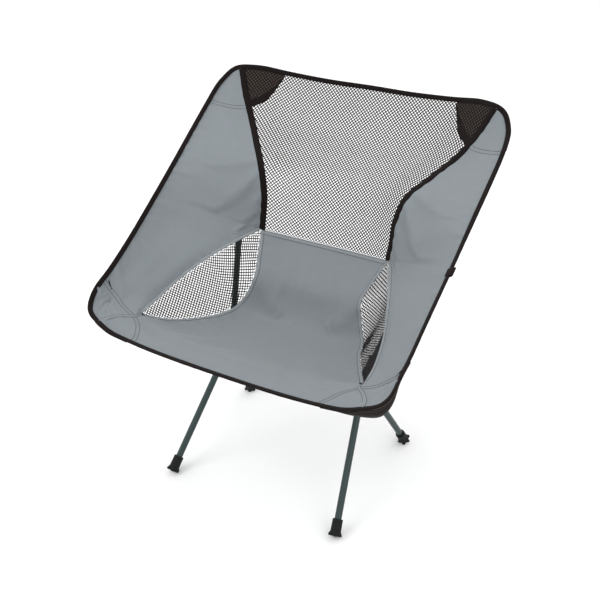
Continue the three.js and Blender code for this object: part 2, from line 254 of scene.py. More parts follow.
# ---- finishes
class NodeTree:
    """A small helper that adds and links shader or geometry nodes by name."""

    def __init__(self, tree: bpy.types.NodeTree) -> None:
        """Keeps the tree that the nodes go into."""
        self.tree = tree

    def add(
        self, kind: str, inputs: Optional[Dict[object, object]] = None, **settings: object,
    ) -> bpy.types.Node:
        """Adds a node.

        Args:
            kind: the node's type.
            inputs: input sockets by name or number, each with a value or another node's output socket.
            settings: the node's own properties.

        Returns:
            The node.
        """
        node = self.tree.nodes.new(kind)
        for key, value in settings.items():
            setattr(node, key, value)
        for key, value in (inputs or {}).items():
            self.put(node.inputs[key], value)
        return node

    def put(self, socket: Socket, value: object) -> None:
        """Sets a socket, or links another socket to it."""
        if isinstance(value, bpy.types.NodeSocket):
            self.tree.links.new(value, socket)
        else:
            socket.default_value = value

    def maths(self, operation: str, *values: object) -> Socket:
        """A maths node's output."""
        return self.add("ShaderNodeMath", dict(enumerate(values)), operation=operation).outputs[0]

    def mix(self, factor: object, a: object, b: object) -> Socket:
        """A colour between a and b."""
        return self.add("ShaderNodeMix", {"Factor": factor, 6: a, 7: b}, data_type="RGBA").outputs[2]

    def noise(self, place: Socket, scale: float, detail: float) -> Socket:
        """A cloudy value from 0 to 1."""
        inputs = {"Vector": place, "Scale": scale, "Detail": detail}
        return self.add("ShaderNodeTexNoise", inputs).outputs["Fac"]

    def bump(self, height: Socket, strength: float, depth_mm: float) -> Socket:
        """A normal from a height."""
        inputs = {"Height": height, "Strength": strength, "Distance": depth_mm * MM}
        return self.add("ShaderNodeBump", inputs).outputs[0]


def srgb(red: float, green: float, blue: float) -> Tuple[float, float, float, float]:
    """A display colour from 0 to 255 as the linear colour that shaders take."""
    shares = [c / 255 for c in (red, green, blue)]
    linear = [c / 12.92 if c * 255 <= 10 else ((c + 0.055) / 1.055) ** 2.4 for c in shares]
    return (*linear, 1.0)


@dataclass(frozen=True)
class Look:
    """A built finish, with the record's slot that it belongs to."""

    material: bpy.types.Material
    slot: Optional[Slot]


@dataclass(frozen=True)
class Finish:
    """A surface finish: its name, the record's slot that it belongs to, its base colour and roughness."""

    name: str
    slot: Optional[Slot]
    colour: Triple
    roughness: float

    def build(self) -> Look:
        """Builds the material.

        Returns:
            The material with its slot.
        """
        material = bpy.data.materials.new(self.name)
        material.use_nodes = True
        material.node_tree.nodes.clear()
        nodes = NodeTree(material.node_tree)
        shader = nodes.add("ShaderNodeBsdfPrincipled")
        nodes.add("ShaderNodeOutputMaterial", {"Surface": shader.outputs[0]})
        place = nodes.add("ShaderNodeTexCoord").outputs["Object"]
        for key, value in self.dress(nodes, place).items():
            nodes.put(shader.inputs[key], value)
        return Look(material, self.slot)

    def dress(self, nodes: NodeTree, place: Socket) -> Dict[str, object]:
        """Adds the finish's own nodes: here soft clouds of its colour.

        Args:
            nodes: the material's nodes.
            place: the piece's Object coordinates.

        Returns:
            What goes into the shader's sockets.
        """
        colour = nodes.mix(nodes.noise(place, 2.0, 2.0), (0.96, 0.96, 0.96, 1), (0.98, 0.98, 0.98, 1))
        return {"Base Color": colour, "Roughness": self.roughness, "Specular IOR Level": 0.1}

    def tone(self, scale: float) -> Tuple[float, float, float, float]:
        """The base colour, lighter or darker."""
        red, green, blue, alpha = srgb(*self.colour)
        return (red * scale, green * scale, blue * scale, alpha)


@dataclass(frozen=True)
class WovenFinish(Finish):
    """Plain-woven cloth or tape: warp and weft from the piece's own UV map, which is in metres."""

    pitch_mm: float = 0.7
    bump: float = 0.25
    contrast: float = 0.12
    sheen: float = 0.15
    specular: float = 0.3
    rib: bool = False

    def dress(self, nodes: NodeTree, place: Socket) -> Dict[str, object]:
        """Adds the weave, its slubs and slow clouds of colour.

        Args:
            nodes: the material's nodes.
            place: the piece's Object coordinates.

        Returns:
            What goes into the shader's sockets.
        """
        uv = nodes.add("ShaderNodeUVMap", uv_map=UV_MAP).outputs[0]
        weave = {"Vector": uv, "Scale": 1 / (self.pitch_mm * MM * math.tau), "Distortion": 0.0}
        warp, weft = (
            nodes.add("ShaderNodeTexWave", weave, wave_type="BANDS", bands_direction=axis).outputs["Fac"]
            for axis in ("X", "Y")
        )
        over = warp if self.rib else nodes.maths("MULTIPLY", warp, weft)
        slub, cloud = nodes.noise(place, 90.0, 6.0), nodes.noise(place, 9.0, 3.0)
        blend = nodes.maths("MULTIPLY", slub, 0.35)
        for part, share in ((cloud, 0.45), (over, 0.25)):
            blend = nodes.maths("ADD", blend, nodes.maths("MULTIPLY", part, share))
        height = nodes.maths("ADD", over, nodes.maths("MULTIPLY", slub, 0.4))
        return {
            "Base Color": nodes.mix(blend, self.tone(1 - self.contrast), self.tone(1 + self.contrast)),
            "Roughness": nodes.maths("MULTIPLY_ADD", cloud, 0.12, self.roughness - 0.06),
            "Sheen Weight": self.sheen,
            "Sheen Roughness": 0.5,
            "Specular IOR Level": self.specular,
            "Normal": nodes.bump(height, self.bump, 0.3),
        }


@dataclass(frozen=True)
class MouldedFinish(Finish):
    """Moulded nylon or rubber: fine grain, with dusty wear on its edges."""

    grain_mm: float = 0.5
    bump: float = 0.15
    dust: float = 0.25
    specular: float = 0.25

    def dress(self, nodes: NodeTree, place: Socket) -> Dict[str, object]:
        """Adds the grain and the wear.

        Args:
            nodes: the material's nodes.
            place: the piece's Object coordinates.

        Returns:
            What goes into the shader's sockets.
        """
        grain = nodes.noise(place, 1 / (self.grain_mm * MM), 4.0)
        cloud = nodes.noise(place, 60.0, 5.0)
        edges = nodes.add("ShaderNodeNewGeometry").outputs["Pointiness"]
        limits = {"Value": edges, "From Min": 0.48, "From Max": 0.6, "To Min": 0.0, "To Max": 1.0}
        worn = nodes.maths("MULTIPLY", nodes.add("ShaderNodeMapRange", limits).outputs[0], cloud)
        worn = nodes.maths("MULTIPLY", worn, self.dust * 2)
        body = nodes.mix(cloud, self.tone(0.85), self.tone(1.2))
        return {
            "Base Color": nodes.mix(worn, body, self.tone(2.6)),
            "Roughness": nodes.maths("MULTIPLY_ADD", cloud, 0.2, self.roughness - 0.1),
            "Specular IOR Level": self.specular,
            "Normal": nodes.bump(grain, self.bump, 0.3),
        }


@dataclass(frozen=True)
class AnodisedFinish(Finish):
    """Drawn aluminium tube, anodised: faint marks along the tube and a soft gloss."""

    def dress(self, nodes: NodeTree, place: Socket) -> Dict[str, object]:
        """Adds the drawn marks and slow clouds of colour.

        Args:
            nodes: the material's nodes.
            place: the piece's Object coordinates.

        Returns:
            What goes into the shader's sockets.
        """
        uv = nodes.add("ShaderNodeUVMap", uv_map=UV_MAP).outputs[0]
        along = nodes.add("ShaderNodeMapping", {"Vector": uv, "Scale": (30.0, 1500.0, 1.0)}).outputs[0]
        drawn, cloud = nodes.noise(along, 1.0, 5.0), nodes.noise(place, 45.0, 4.0)
        tone = nodes.maths("MULTIPLY", nodes.maths("ADD", drawn, cloud), 0.5)
        return {
            "Base Color": nodes.mix(tone, self.tone(0.75), self.tone(1.3)),
            "Metallic": 0.75,
            "Coat Weight": 0.15,
            "Coat Roughness": 0.25,
            "Roughness": nodes.maths("MULTIPLY_ADD", drawn, 0.25, self.roughness - 0.12),
            "Normal": nodes.bump(drawn, 0.08, 0.2),
        }


class Finishes:
    """Every finish of the chair, built once."""

    def __init__(self) -> None:
        """Builds the materials."""
        grey, black = Slot.FABRIC, Slot.WEBBING
        dull = {"sheen": 0.05, "specular": 0.08}
        dark = {"sheen": 0.05, "specular": 0.1}
        self.fabric = WovenFinish("polyester_cloth", grey, (121, 127, 131), 0.82).build()
        # The hem is the same grey cloth as the panels, painted a little lighter: a painted highlight for the
        # light on the raised fold.
        self.hem = WovenFinish("folded_hem_cloth", grey, (128, 134, 138), 0.84).build()
        self.net = WovenFinish("knitted_net", Slot.NET, (24, 20, 20), 0.75, pitch_mm=0.5, **dull).build()
        self.webbing = WovenFinish(
            "binding_tape", black, (22, 16, 15), 0.8, pitch_mm=1.1, bump=0.6, rib=True, **dull,
        ).build()
        self.pocket = WovenFinish(
            "pocket_cloth", black, (28, 24, 22), 0.82, pitch_mm=0.8, bump=0.4, **dark,
        ).build()
        self.backing = WovenFinish(
            "backing_cloth", black, (82, 73, 66), 0.85, pitch_mm=2.2, bump=0.8, contrast=0.4, **dark,
        ).build()
        # The grey thread is darker than the real thread: it also paints the shade of the puckered groove
        # along each row.
        self.grey_thread = WovenFinish(
            "grey_thread", grey, (50, 54, 57), 0.75, pitch_mm=0.4, bump=0.4,
        ).build()
        self.dark_thread = WovenFinish("dark_thread", black, (15, 12, 12), 0.75, pitch_mm=0.4, **dark).build()
        self.tube = AnodisedFinish("anodised_tube", Slot.TUBE, (50, 63, 62), 0.42).build()
        self.nylon = MouldedFinish("moulded_nylon", Slot.NYLON, (18, 19, 21), 0.5).build()
        self.rubber = MouldedFinish(
            "foot_rubber", Slot.RUBBER, (13, 14, 15), 0.72, grain_mm=0.8, bump=0.3, dust=0.3,
        ).build()
        self.elastic = WovenFinish(
            "elastic_braid", Slot.ELASTIC, (42, 44, 48), 0.85, pitch_mm=0.9, bump=0.6,
        ).build()


# ---- meshes
def linked(name: str, data: bpy.types.ID) -> Piece:
    """A new object in the scene, over some data."""
    thing = bpy.data.objects.new(name, data)
    bpy.context.scene.collection.objects.link(thing)
    return thing


def finished(
    name: str, mesh: Mesh, look: Look, replaces: Sequence[str] = (), body: str = SLING_BODY,
) -> Piece:
    """Puts a mesh in the scene as a piece of the chair.

    Args:
        name: the piece's name.
        mesh: its mesh, in the frame's place.
        look: its finish.
        replaces: the frame's nodes that it stands for.
        body: the body it rides on.

    Returns:
        The piece.
    """
    mesh.name = name
    if not mesh.materials:
        mesh.materials.append(look.material)
    piece = linked(name, mesh)
    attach(piece, body)
    if replaces:
        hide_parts(*replaces)
    LOG.info("%s: %d faces", name, len(mesh.polygons))
    return piece


def mesh_of(vertices: Array, faces: Sequence[Sequence[int]], uvs: Optional[Array] = None) -> Mesh:
    """A smooth-shaded mesh.

    Args:
        vertices: points in metres.
        faces: vertex numbers of each face.
        uvs: one pair in metres for each vertex.

    Returns:
        The mesh, with its UV map.
    """
    mesh = bpy.data.meshes.new("piece")
    mesh.from_pydata([tuple(p) for p in vertices], [], [tuple(int(i) for i in f) for f in faces])
    layer = mesh.uv_layers.new(name=UV_MAP)
    if uvs is None:
        uvs = np.asarray(vertices)[:, :2]
    corner = np.zeros(len(mesh.loops), np.int32)
    mesh.loops.foreach_get("vertex_index", corner)
    layer.data.foreach_set("uv", np.asarray(uvs, np.float32)[corner].ravel())
    mesh.polygons.foreach_set("use_smooth", [True] * len(mesh.polygons))
    mesh.update()
    return mesh


def outward(mesh: Mesh, merge: bool = False) -> Mesh:
    """The mesh with its faces pointing out.

    Args:
        mesh: a closed mesh.
        merge: whether its doubled points are merged first.

    Returns:
        The same mesh.
    """
    work = bmesh.new()
    work.from_mesh(mesh)
    if merge:
        bmesh.ops.remove_doubles(work, verts=work.verts, dist=DOUBLES)
    bmesh.ops.recalc_face_normals(work, faces=work.faces)
    if work.calc_volume(signed=True) < 0:
        bmesh.ops.reverse_faces(work, faces=work.faces)
    work.to_mesh(mesh)
    work.free()
    return mesh


def grid_faces(rows: int, columns: int, start: int = 0, wrap: bool = False) -> Array:
    """Quads of a grid of vertices.

    Args:
        rows: number of rows.
        columns: number of vertices in a row.
        start: number of the grid's first vertex.
        wrap: whether the last column joins the first.

    Returns:
        Four vertex numbers for each quad.
    """
    i, j = np.meshgrid(np.arange(rows - 1), np.arange(columns - (0 if wrap else 1)), indexing="ij")
    i, j = i.ravel(), j.ravel()
    k = (j + 1) % columns
    near, far = i * columns, (i + 1) * columns
    return start + np.stack([near + j, far + j, far + k, near + k], axis=1)


def true_lengths(grid: Array) -> Array:
    """UV coordinates of a grid in metres, from its middle lengths.

    Args:
        grid: rows by columns by three.

    Returns:
        One pair for each point.
    """
    rows, columns = grid.shape[:2]
    along = np.linalg.norm(np.diff(grid, axis=0), axis=-1).mean(axis=1)
    over = np.linalg.norm(np.diff(grid, axis=1), axis=-1).mean(axis=0)
    u = np.concatenate([[0], np.cumsum(along)])
    v = np.concatenate([[0], np.cumsum(over)])
    return np.stack(np.meshgrid(u, v, indexing="ij"), axis=-1).reshape(rows * columns, 2)


def cloth_mesh(grid: Array, thickness: float) -> Mesh:
    """A closed sheet over a grid of points.

    Args:
        grid: the middle surface, rows by columns by three.
        thickness: in metres.

    Returns:
        The mesh.
    """
    rows, columns = grid.shape[:2]
    normal = grid_normals(grid)
    top = (grid + normal * thickness / 2).reshape(-1, 3)
    bottom = (grid - normal * thickness / 2).reshape(-1, 3)
    count = rows * columns
    faces = [grid_faces(rows, columns), grid_faces(rows, columns, count)[:, ::-1]]
    number = np.arange(count).reshape(rows, columns)
    rim = np.concatenate([number[:, 0], number[-1, 1:], number[-2::-1, -1], number[0, -2:0:-1]])
    after = np.roll(rim, -1)
    faces.append(np.stack([after, rim, rim + count, after + count], axis=1))
    uv = true_lengths(grid)
    return outward(mesh_of(np.vstack([top, bottom]), np.vstack(faces), np.vstack([uv, uv])))


def sweep(rings: Array, closed: bool = False) -> Mesh:
    """A skin over rings of points.

    Args:
        rings: rings by points by three.
        closed: whether the last ring joins the first, else both ends get a face.

    Returns:
        The mesh.
    """
    count, sides = rings.shape[:2]
    loop = np.concatenate([rings, rings[:1]]) if closed else rings
    around = np.concatenate([loop, loop[:, :1]], axis=1)
    uv = true_lengths(around).reshape(len(loop), sides + 1, 2)[: len(loop), :sides].reshape(-1, 2)
    faces = list(grid_faces(len(loop), sides, wrap=True))
    if not closed:
        faces.append(np.arange(sides)[::-1])
        faces.append((count - 1) * sides + np.arange(sides))
    mesh = mesh_of(loop.reshape(-1, 3), faces, uv)
    return outward(mesh, closed)


def frame_along(line: Array, guide: Array) -> Tuple[Array, Array, Array]:
    """Directions along a line of points.

    Args:
        line: the points.
        guide: a direction at each point, made square to the line.

    Returns:
        Unit tangents, the squared guide, and the direction square to both.
    """
    tangent = unit(np.gradient(line, axis=0))
    guide = unit(guide - tangent * np.sum(guide * tangent, axis=-1, keepdims=True))
    return tangent, guide, np.cross(tangent, guide)


def turned_profile(
    start: Array, direction: Array, profile: Points, sides: int = 40, lobes: int = 0,
    lobe_depth: Optional[Sequence[float]] = None,
) -> Array:
    """Rings of a turned shape.

    Args:
        start: the profile's zero, in metres.
        direction: unit vector of its axis.
        profile: pairs of distance along the axis and radius, in millimetres.
        sides: points round each ring.
        lobes: number of lobes round it.
        lobe_depth: how deep the lobes are at each profile pair, in millimetres.

    Returns:
        The rings.
    """
    axis = Vector(direction)
    side = np.array(axis.orthogonal().normalized())
    other = np.cross(direction, side)
    angle = np.linspace(0, math.tau, sides, endpoint=False)
    spoke = np.cos(angle)[:, None] * side + np.sin(angle)[:, None] * other
    rings = []
    for i, (along, radius) in enumerate(profile):
        depth = lobe_depth[i] if lobe_depth else 0.0
        r = (radius + depth * np.cos(lobes * angle))[:, None] * MM
        rings.append(start + direction * along * MM + r * spoke)
    return np.array(rings)


def point(xyz: Sequence[float], side: Side = Side.RIGHT) -> Array:
    """A millimetre point of the right half, on either side, in metres in the frame's place."""
    return np.array([side.value * xyz[0], xyz[1] - MID_Y, xyz[2]]) * MM


# ---- geometry nodes
def plain_mesh(holder: Piece) -> Mesh:
    """The object's mesh with its modifiers applied, after which the object is removed.

    Args:
        holder: the object.

    Returns:
        The plain mesh.
    """
    bpy.context.view_layer.update()
    graph = bpy.context.evaluated_depsgraph_get()
    mesh = bpy.data.meshes.new_from_object(holder.evaluated_get(graph))
    holder.modifiers.clear()
    bpy.data.objects.remove(holder)
    return mesh


class GeometryTree(NodeTree):
    """Geometry Nodes with named inputs, which end in real meshes with a finish."""

    LOOK = "Finish"

    def __init__(self, name: str, inputs: Dict[str, str]) -> None:
        """Starts the tree.

        Args:
            name: the tree's name.
            inputs: its inputs between the geometry and the finish, each with its kind of value.
        """
        super().__init__(bpy.data.node_groups.new(name, "GeometryNodeTree"))
        for key, kind in {"Geometry": "Geometry", **inputs, self.LOOK: "Material"}.items():
            self.tree.interface.new_socket(key, in_out="INPUT", socket_type=f"NodeSocket{kind}")
        self.tree.interface.new_socket("Geometry", in_out="OUTPUT", socket_type="NodeSocketGeometry")
        self.source = self.add("NodeGroupInput").outputs

    def end(self, geometry: Socket) -> None:
        """Ends the tree with real meshes in their finish."""
        real = self.add("GeometryNodeRealizeInstances", {"Geometry": geometry}).outputs[0]
        inputs = {"Geometry": real, "Material": self.source[self.LOOK]}
        self.add("NodeGroupOutput", {0: self.add("GeometryNodeSetMaterial", inputs).outputs[0]})

    def apply(self, base: Mesh, look: Look, inputs: Dict[str, object]) -> Mesh:
        """Runs the tree on a mesh.

        Args:
            base: what it works on.
            look: the result's finish.
            inputs: the tree's other inputs by name.

        Returns:
            The result as a plain mesh.
        """
        holder = linked("holder", base)
        modifier = holder.modifiers.new("nodes", "NODES")
        modifier.node_group = self.tree
        values = {**inputs, self.LOOK: look.material}
        for item in self.tree.interface.items_tree:
            if item.in_out == "INPUT" and item.name in values:
                modifier[item.identifier] = values[item.name]
        return plain_mesh(holder)


class PerforatedNet(GeometryTree):
    """Geometry Nodes that open a hole in every face of a mesh and give the rest a thickness."""

    HOLE = "Hole share"
    THICKNESS = "Thickness"
    MERGE = 2e-6

    def __init__(self) -> None:
        """Builds the tree."""
        super().__init__("perforated_net", {self.HOLE: "Float", self.THICKNESS: "Float"})
        flat = self.add(
            "GeometryNodeExtrudeMesh",
            {"Mesh": self.source["Geometry"], "Offset Scale": 0.0, "Individual": True},
            mode="FACES",
        ).outputs
        shrunk = self.add(
            "GeometryNodeScaleElements",
            {"Geometry": flat["Mesh"], "Selection": flat["Top"], "Scale": self.source[self.HOLE]},
            domain="FACE",
        )
        opened = self.add(
            "GeometryNodeDeleteGeometry",
            {"Geometry": shrunk.outputs[0], "Selection": flat["Top"]},
            domain="FACE",
            mode="ALL",
        ).outputs[0]
        raised = self.add(
            "GeometryNodeExtrudeMesh",
            {"Mesh": opened, "Offset Scale": self.source[self.THICKNESS], "Individual": False},
            mode="FACES",
        )
        under = self.add("GeometryNodeFlipFaces", {"Mesh": opened})
        both = self.add("GeometryNodeJoinGeometry")
        for piece in (raised, under):
            self.put(both.inputs[0], piece.outputs["Mesh"])
        inputs = {"Geometry": both.outputs[0], "Distance": self.MERGE}
        self.end(self.add("GeometryNodeMergeByDistance", inputs).outputs[0])

    def knit(self, base: Mesh, hole: float, thickness: float, look: Look) -> Mesh:
        """Perforates a mesh.

        Args:
            base: a mesh whose faces are the net's cells.
            hole: the hole's width as a share of the cell.
            thickness: in metres.
            look: the net's finish.

        Returns:
            The net.
        """
        return self.apply(base, look, {self.HOLE: hole, self.THICKNESS: thickness})


@dataclass(frozen=True)
class Stitch:
    """One kind of stitch: from stitch to stitch, along the stitch and over the thread, in millimetres."""

    pitch: float
    length: float
    width: float


class SewnRow(GeometryTree):
    """Geometry Nodes that lay stitches along lines."""

    PITCH = "Pitch"
    SIZE = "Stitch size"

    def __init__(self) -> None:
        """Builds the tree."""
        super().__init__("sewn_row", {self.PITCH: "Float", self.SIZE: "Vector"})
        lines = self.add("GeometryNodeMeshToCurve", {"Mesh": self.source["Geometry"]})
        spaced = self.add(
            "GeometryNodeResampleCurve",
            {"Curve": lines.outputs[0], "Length": self.source[self.PITCH]},
            mode="LENGTH",
        )
        stitch = self.add("GeometryNodeMeshIcoSphere", {"Radius": 1.0, "Subdivisions": 1})
        tangent = self.add("GeometryNodeInputTangent")
        turn = self.add("FunctionNodeAlignRotationToVector", {"Vector": tangent.outputs[0]}, axis="Z")
        placed = self.add(
            "GeometryNodeInstanceOnPoints",
            {
                "Points": spaced.outputs[0],
                "Instance": stitch.outputs["Mesh"],
                "Rotation": turn.outputs[0],
                "Scale": self.source[self.SIZE],
            },
        )
        self.end(placed.outputs[0])

    def sew(self, name: str, lines: Sequence[Array], stitch: Stitch, look: Look) -> Piece:
        """Sews along lines.

        Args:
            name: the piece's name.
            lines: rows of points.
            stitch: the kind of stitch.
            look: the thread's finish.

        Returns:
            The stitches as one piece.
        """
        edges: List[Tuple[int, int]] = []
        first = 0
        for line in lines:
            edges += [(first + i, first + i + 1) for i in range(len(line) - 1)]
            first += len(line)
        base = bpy.data.meshes.new("seam_lines")
        base.from_pydata([tuple(p) for p in np.vstack(lines)], edges, [])
        width, length = stitch.width * MM, stitch.length * MM
        size = (width / 2, width / 2, length / 2)
        mesh = self.apply(base, look, {self.PITCH: stitch.pitch * MM, self.SIZE: size})
        layer = mesh.uv_layers.get(UV_MAP) or mesh.uv_layers.new(name=UV_MAP)
        corner = np.zeros(len(mesh.loops), np.int32)
        mesh.loops.foreach_get("vertex_index", corner)
        place = np.zeros(len(mesh.vertices) * 3, np.float32)
        mesh.vertices.foreach_get("co", place)
        layer.data.foreach_set("uv", place.reshape(-1, 3)[corner][:, [0, 2]].ravel())
        return finished(name, mesh, look)


# ---- the sling's outline
@dataclass(frozen=True)
class Outline:
    """Edges and seams of the sling's right half, in millimetres from between the feet."""

    front_edge: Points = (
        (0, -235, 334), (110, -234, 335), (170, -232, 338), (208, -233, 345), (231, -229, 353),
    )
    side_edge: Points = (
        (231, -229, 353), (256, -219, 360), (266, -203, 371), (268, -183, 387), (269, -150, 400),
        (270, -90, 432), (273, -12, 478), (276, 60, 522), (279, 130, 566), (280, 185, 602),
        (277, 214, 625), (270, 228, 637), (259, 239, 650), (243, 243, 657),
    )
    top_edge: Points = ((243, 243, 657), (207, 262, 655), (163, 278, 647), (80, 288, 641), (0, 290, 641))
    back_seam: Points = (
        (243, 243, 657), (223, 225, 610), (200, 206, 573), (169, 171, 541), (140, 138, 510),
        (128, 127, 467), (127, 122, 430), (126, 115, 400),
    )
    window_top: Points = (
        (202, -152, 337), (200, -112, 343), (190, -55, 360), (171, 2, 379), (147, 64, 392), (126, 115, 400),
    )
    window_low: Points = (
        (202, -152, 337), (183, -106, 309), (160, -60, 293), (137, -11, 284), (126, 25, 286),
        (113, 43, 310), (105, 56, 343), (113, 80, 369), (126, 115, 400),
    )
    rear_seam: Points = ((126, 115, 400), (70, 134, 390), (0, 140, 387))
    corner_seam: Points = (
        (231, -229, 353), (227, -205, 350), (215, -184, 346), (204, -170, 341), (202, -152, 337),
    )
    front_pocket_arc: Points = ((170, -226, 336), (196, -178, 335), (222, -166, 351), (262, -154, 389))
    rear_pocket_arc: Points = (
        (271, 190, 599), (244, 210, 587), (215, 218, 591), (186, 240, 609), (170, 270, 635),
    )
    front_row_arc: Points = (
        (164, -231, 337), (167, -214, 336), (184, -185, 335), (201, -171, 340),
        (225, -165, 355), (239, -162, 366), (257, -163, 385), (267, -163, 396),
    )
    rear_row_arc: Points = (
        (273, 186, 598), (249, 196, 592), (224, 207, 589), (210, 217, 590), (183, 237, 605), (166, 270, 634),
    )

    def side_panel(self, side: Side) -> Surface:
        """The side panel, u from the front corner to the top corner, v from the edge in to the seams."""
        return ruled(curve([self.side_edge], side), curve([self.window_top, self.back_seam[::-1]], side))

    def seat(self) -> Surface:
        """The seat panel, u from left to right, v from the front edge to the rear seam."""
        sides = [curve([self.corner_seam, self.window_low], side) for side in (Side.LEFT, Side.RIGHT)]
        return coons(across(self.front_edge), across(self.rear_seam[::-1]), sides[0], sides[1])

    def back(self) -> Surface:
        """The back mesh, u from left to right, v from the top edge down to the rear seam."""
        sides = [curve([self.back_seam], side) for side in (Side.LEFT, Side.RIGHT)]
        return coons(across(self.top_edge[::-1]), across(self.rear_seam[::-1]), sides[0], sides[1])

    def window(self, side: Side) -> Surface:
        """The side window, u from its front tip to its rear tip, v from its upper edge to its lower edge."""
        return ruled(curve([self.window_top], side), curve([self.window_low], side))

    def window_start(self) -> float:
        """Where the window's front tip lies on the seat panel's side, as a share of its length."""
        return measure(self.corner_seam) / (measure(self.corner_seam) + measure(self.window_low))

    def window_end(self) -> float:
        """Where the window's rear tip lies on the side panel's inner edge, as a share of its length."""
        return measure(self.window_top) / (measure(self.window_top) + measure(self.back_seam))


def measure(points: Points) -> float:
    """Length of the smooth curve through a list of points."""
    return float(np.linalg.norm(np.diff(centripetal(np.array(points, float)), axis=0), axis=1).sum())


# ---- cloth shape
@dataclass(frozen=True)
class Fold:
    """One soft fold: from a to b in a panel's own u and v, with its width there and its height in mm."""

    a: Pair
    b: Pair
    width: float
    height: float

    def lift(self, u: Array, v: Array) -> Array:
        """How far the fold lifts the points at u and v, in metres.

        Args:
            u: shares along the panel.
            v: shares over the panel.

        Returns:
            The lifts.
        """
        start, along = np.array(self.a), np.array(self.b) - np.array(self.a)
        offset = np.stack([u, v], axis=-1) - start
        t = np.clip(offset @ along / (along @ along), 0, 1)
        distance = np.linalg.norm(offset - t[..., None] * along, axis=-1)
        section = self.height * MM * np.exp(-((distance / self.width) ** 2))
        return section * np.sin(math.pi * (0.08 + 0.84 * t))


@dataclass(frozen=True)
class Drape:
    """How a panel's cloth lies between its seams: folds, slow waves, and a settled shape."""

    folds: Tuple[Fold, ...] = ()
    wave_mm: float = 0.25
    seed: int = 3
    slack: float = 0.012
    limit_mm: float = 4.0
    frames: int = 16
    waves: int = 7
    counts: Pair = (1.2, 3.2)  # how many waves lie across the panel, from and to
    seam_fade: float = 0.06
    coarser: int = 3  # how many times coarser the settled grid is
    stiffness: float = 25.0
    shear: float = 8.0
    bending: float = 2.0
    mass: float = 0.25
    gravity: float = 0.5

    def lift(self, u: Array, v: Array) -> Array:
        """How far the cloth stands off its smooth surface, in metres, fading out at the seams.

        Args:
            u: shares along the panel.
            v: shares over the panel.

        Returns:
            The lifts.
        """
        rng = np.random.default_rng(self.seed)
        total = np.zeros_like(u)
        for _ in range(self.waves):
            turn, count, phase = rng.uniform(0, math.tau), rng.uniform(*self.counts), rng.uniform(0, math.tau)
            total += np.sin(math.tau * count * (u * math.cos(turn) + v * math.sin(turn)) + phase)
        total *= self.wave_mm * MM / 3
        for fold in self.folds:
            total += fold.lift(u, v)
        fade = np.clip(np.minimum.reduce([u, 1 - u, v, 1 - v]) / self.seam_fade, 0, 1)
        return total * fade * fade * (3 - 2 * fade)

    def settled(self, surface: Surface, rows: int, columns: int) -> Array:
        """Lets the cloth settle between its pinned seams.

        Args:
            surface: the panel.
            rows: rows of the fine grid.
            columns: columns of the fine grid.

        Returns:
            How each point of the fine grid moves, in metres.
        """
        coarse_rows, coarse_columns = rows // self.coarser, columns // self.coarser
        u, v = lattice(np.linspace(0, 1, coarse_rows), np.linspace(0, 1, coarse_columns))
        grid = surface(u, v)
        mesh = mesh_of(grid.reshape(-1, 3), grid_faces(coarse_rows, coarse_columns))
        holder = linked("settling", mesh)
        pins = holder.vertex_groups.new(name="seams")
        number = np.arange(coarse_rows * coarse_columns).reshape(coarse_rows, coarse_columns)
        rim = np.unique(np.concatenate([number[0], number[-1], number[:, 0], number[:, -1]]))
        pins.add([int(i) for i in rim], 1.0, "REPLACE")
        modifier = holder.modifiers.new("cloth", "CLOTH")
        modifier.point_cache.frame_end = self.frames
        cloth = modifier.settings
        cloth.vertex_group_mass = "seams"
        cloth.mass = self.mass
        cloth.tension_stiffness = cloth.compression_stiffness = self.stiffness
        cloth.shear_stiffness = self.shear
        cloth.bending_stiffness = self.bending
        cloth.shrink_min = -self.slack
        cloth.effector_weights.gravity = self.gravity
        scene = bpy.context.scene
        for frame in range(1, self.frames + 1):
            scene.frame_set(frame)
        settled = plain_mesh(holder)
        place = np.zeros(len(settled.vertices) * 3)
        settled.vertices.foreach_get("co", place)
        scene.frame_set(1)
        moved = place.reshape(coarse_rows, coarse_columns, 3) - grid
        size = np.linalg.norm(moved, axis=-1, keepdims=True)
        limit = self.limit_mm * MM
        moved *= limit * np.tanh(size / limit) / np.maximum(size, 1e-9)
        rising = cubic_weights(coarse_rows, rows)
        over = cubic_weights(coarse_columns, columns)
        return np.einsum("ia,jb,abk->ijk", rising, over, moved)


def cubic_weights(coarse: int, fine: int) -> Array:
    """Weights that take a smooth row of values from a coarse to a fine spacing.

    Args:
        coarse: how many values there are.
        fine: how many are wanted.

    Returns:
        Fine rows by coarse columns.
    """
    weights = np.zeros((fine, coarse))
    place = np.linspace(0, coarse - 1, fine)
    base = np.minimum(place.astype(int), coarse - 2)
    t = place - base
    parts = (
        (-1, -0.5 * t + t**2 - 0.5 * t**3),
        (0, 1 - 2.5 * t**2 + 1.5 * t**3),
        (1, 0.5 * t + 2 * t**2 - 1.5 * t**3),
        (2, -0.5 * t**2 + 0.5 * t**3),
    )
    for step, value in parts:
        np.add.at(weights, (np.arange(fine), np.clip(base + step, 0, coarse - 1)), value)
    return weights


# ---- the sling
SITTER = (0.0, -0.09, 0.505)  # a point above the seat, on the face side of every panel


def trimmed(surface: Surface, start: float, end: float) -> Surface:
    """The part of a surface from start to end of its u."""
    return lambda u, v: surface(start + (end - start) * u, v)


def facing(grid: Array) -> Array:
    """Unit normals of a grid that point to the sitter's side.

    Args:
        grid: rows by columns by three.

    Returns:
        The normals.
    """
    normal = grid_normals(grid)
    towards = np.array(SITTER) - grid
    sign = 1.0 if float(np.sum(normal * towards)) > 0 else -1.0
    return normal * sign


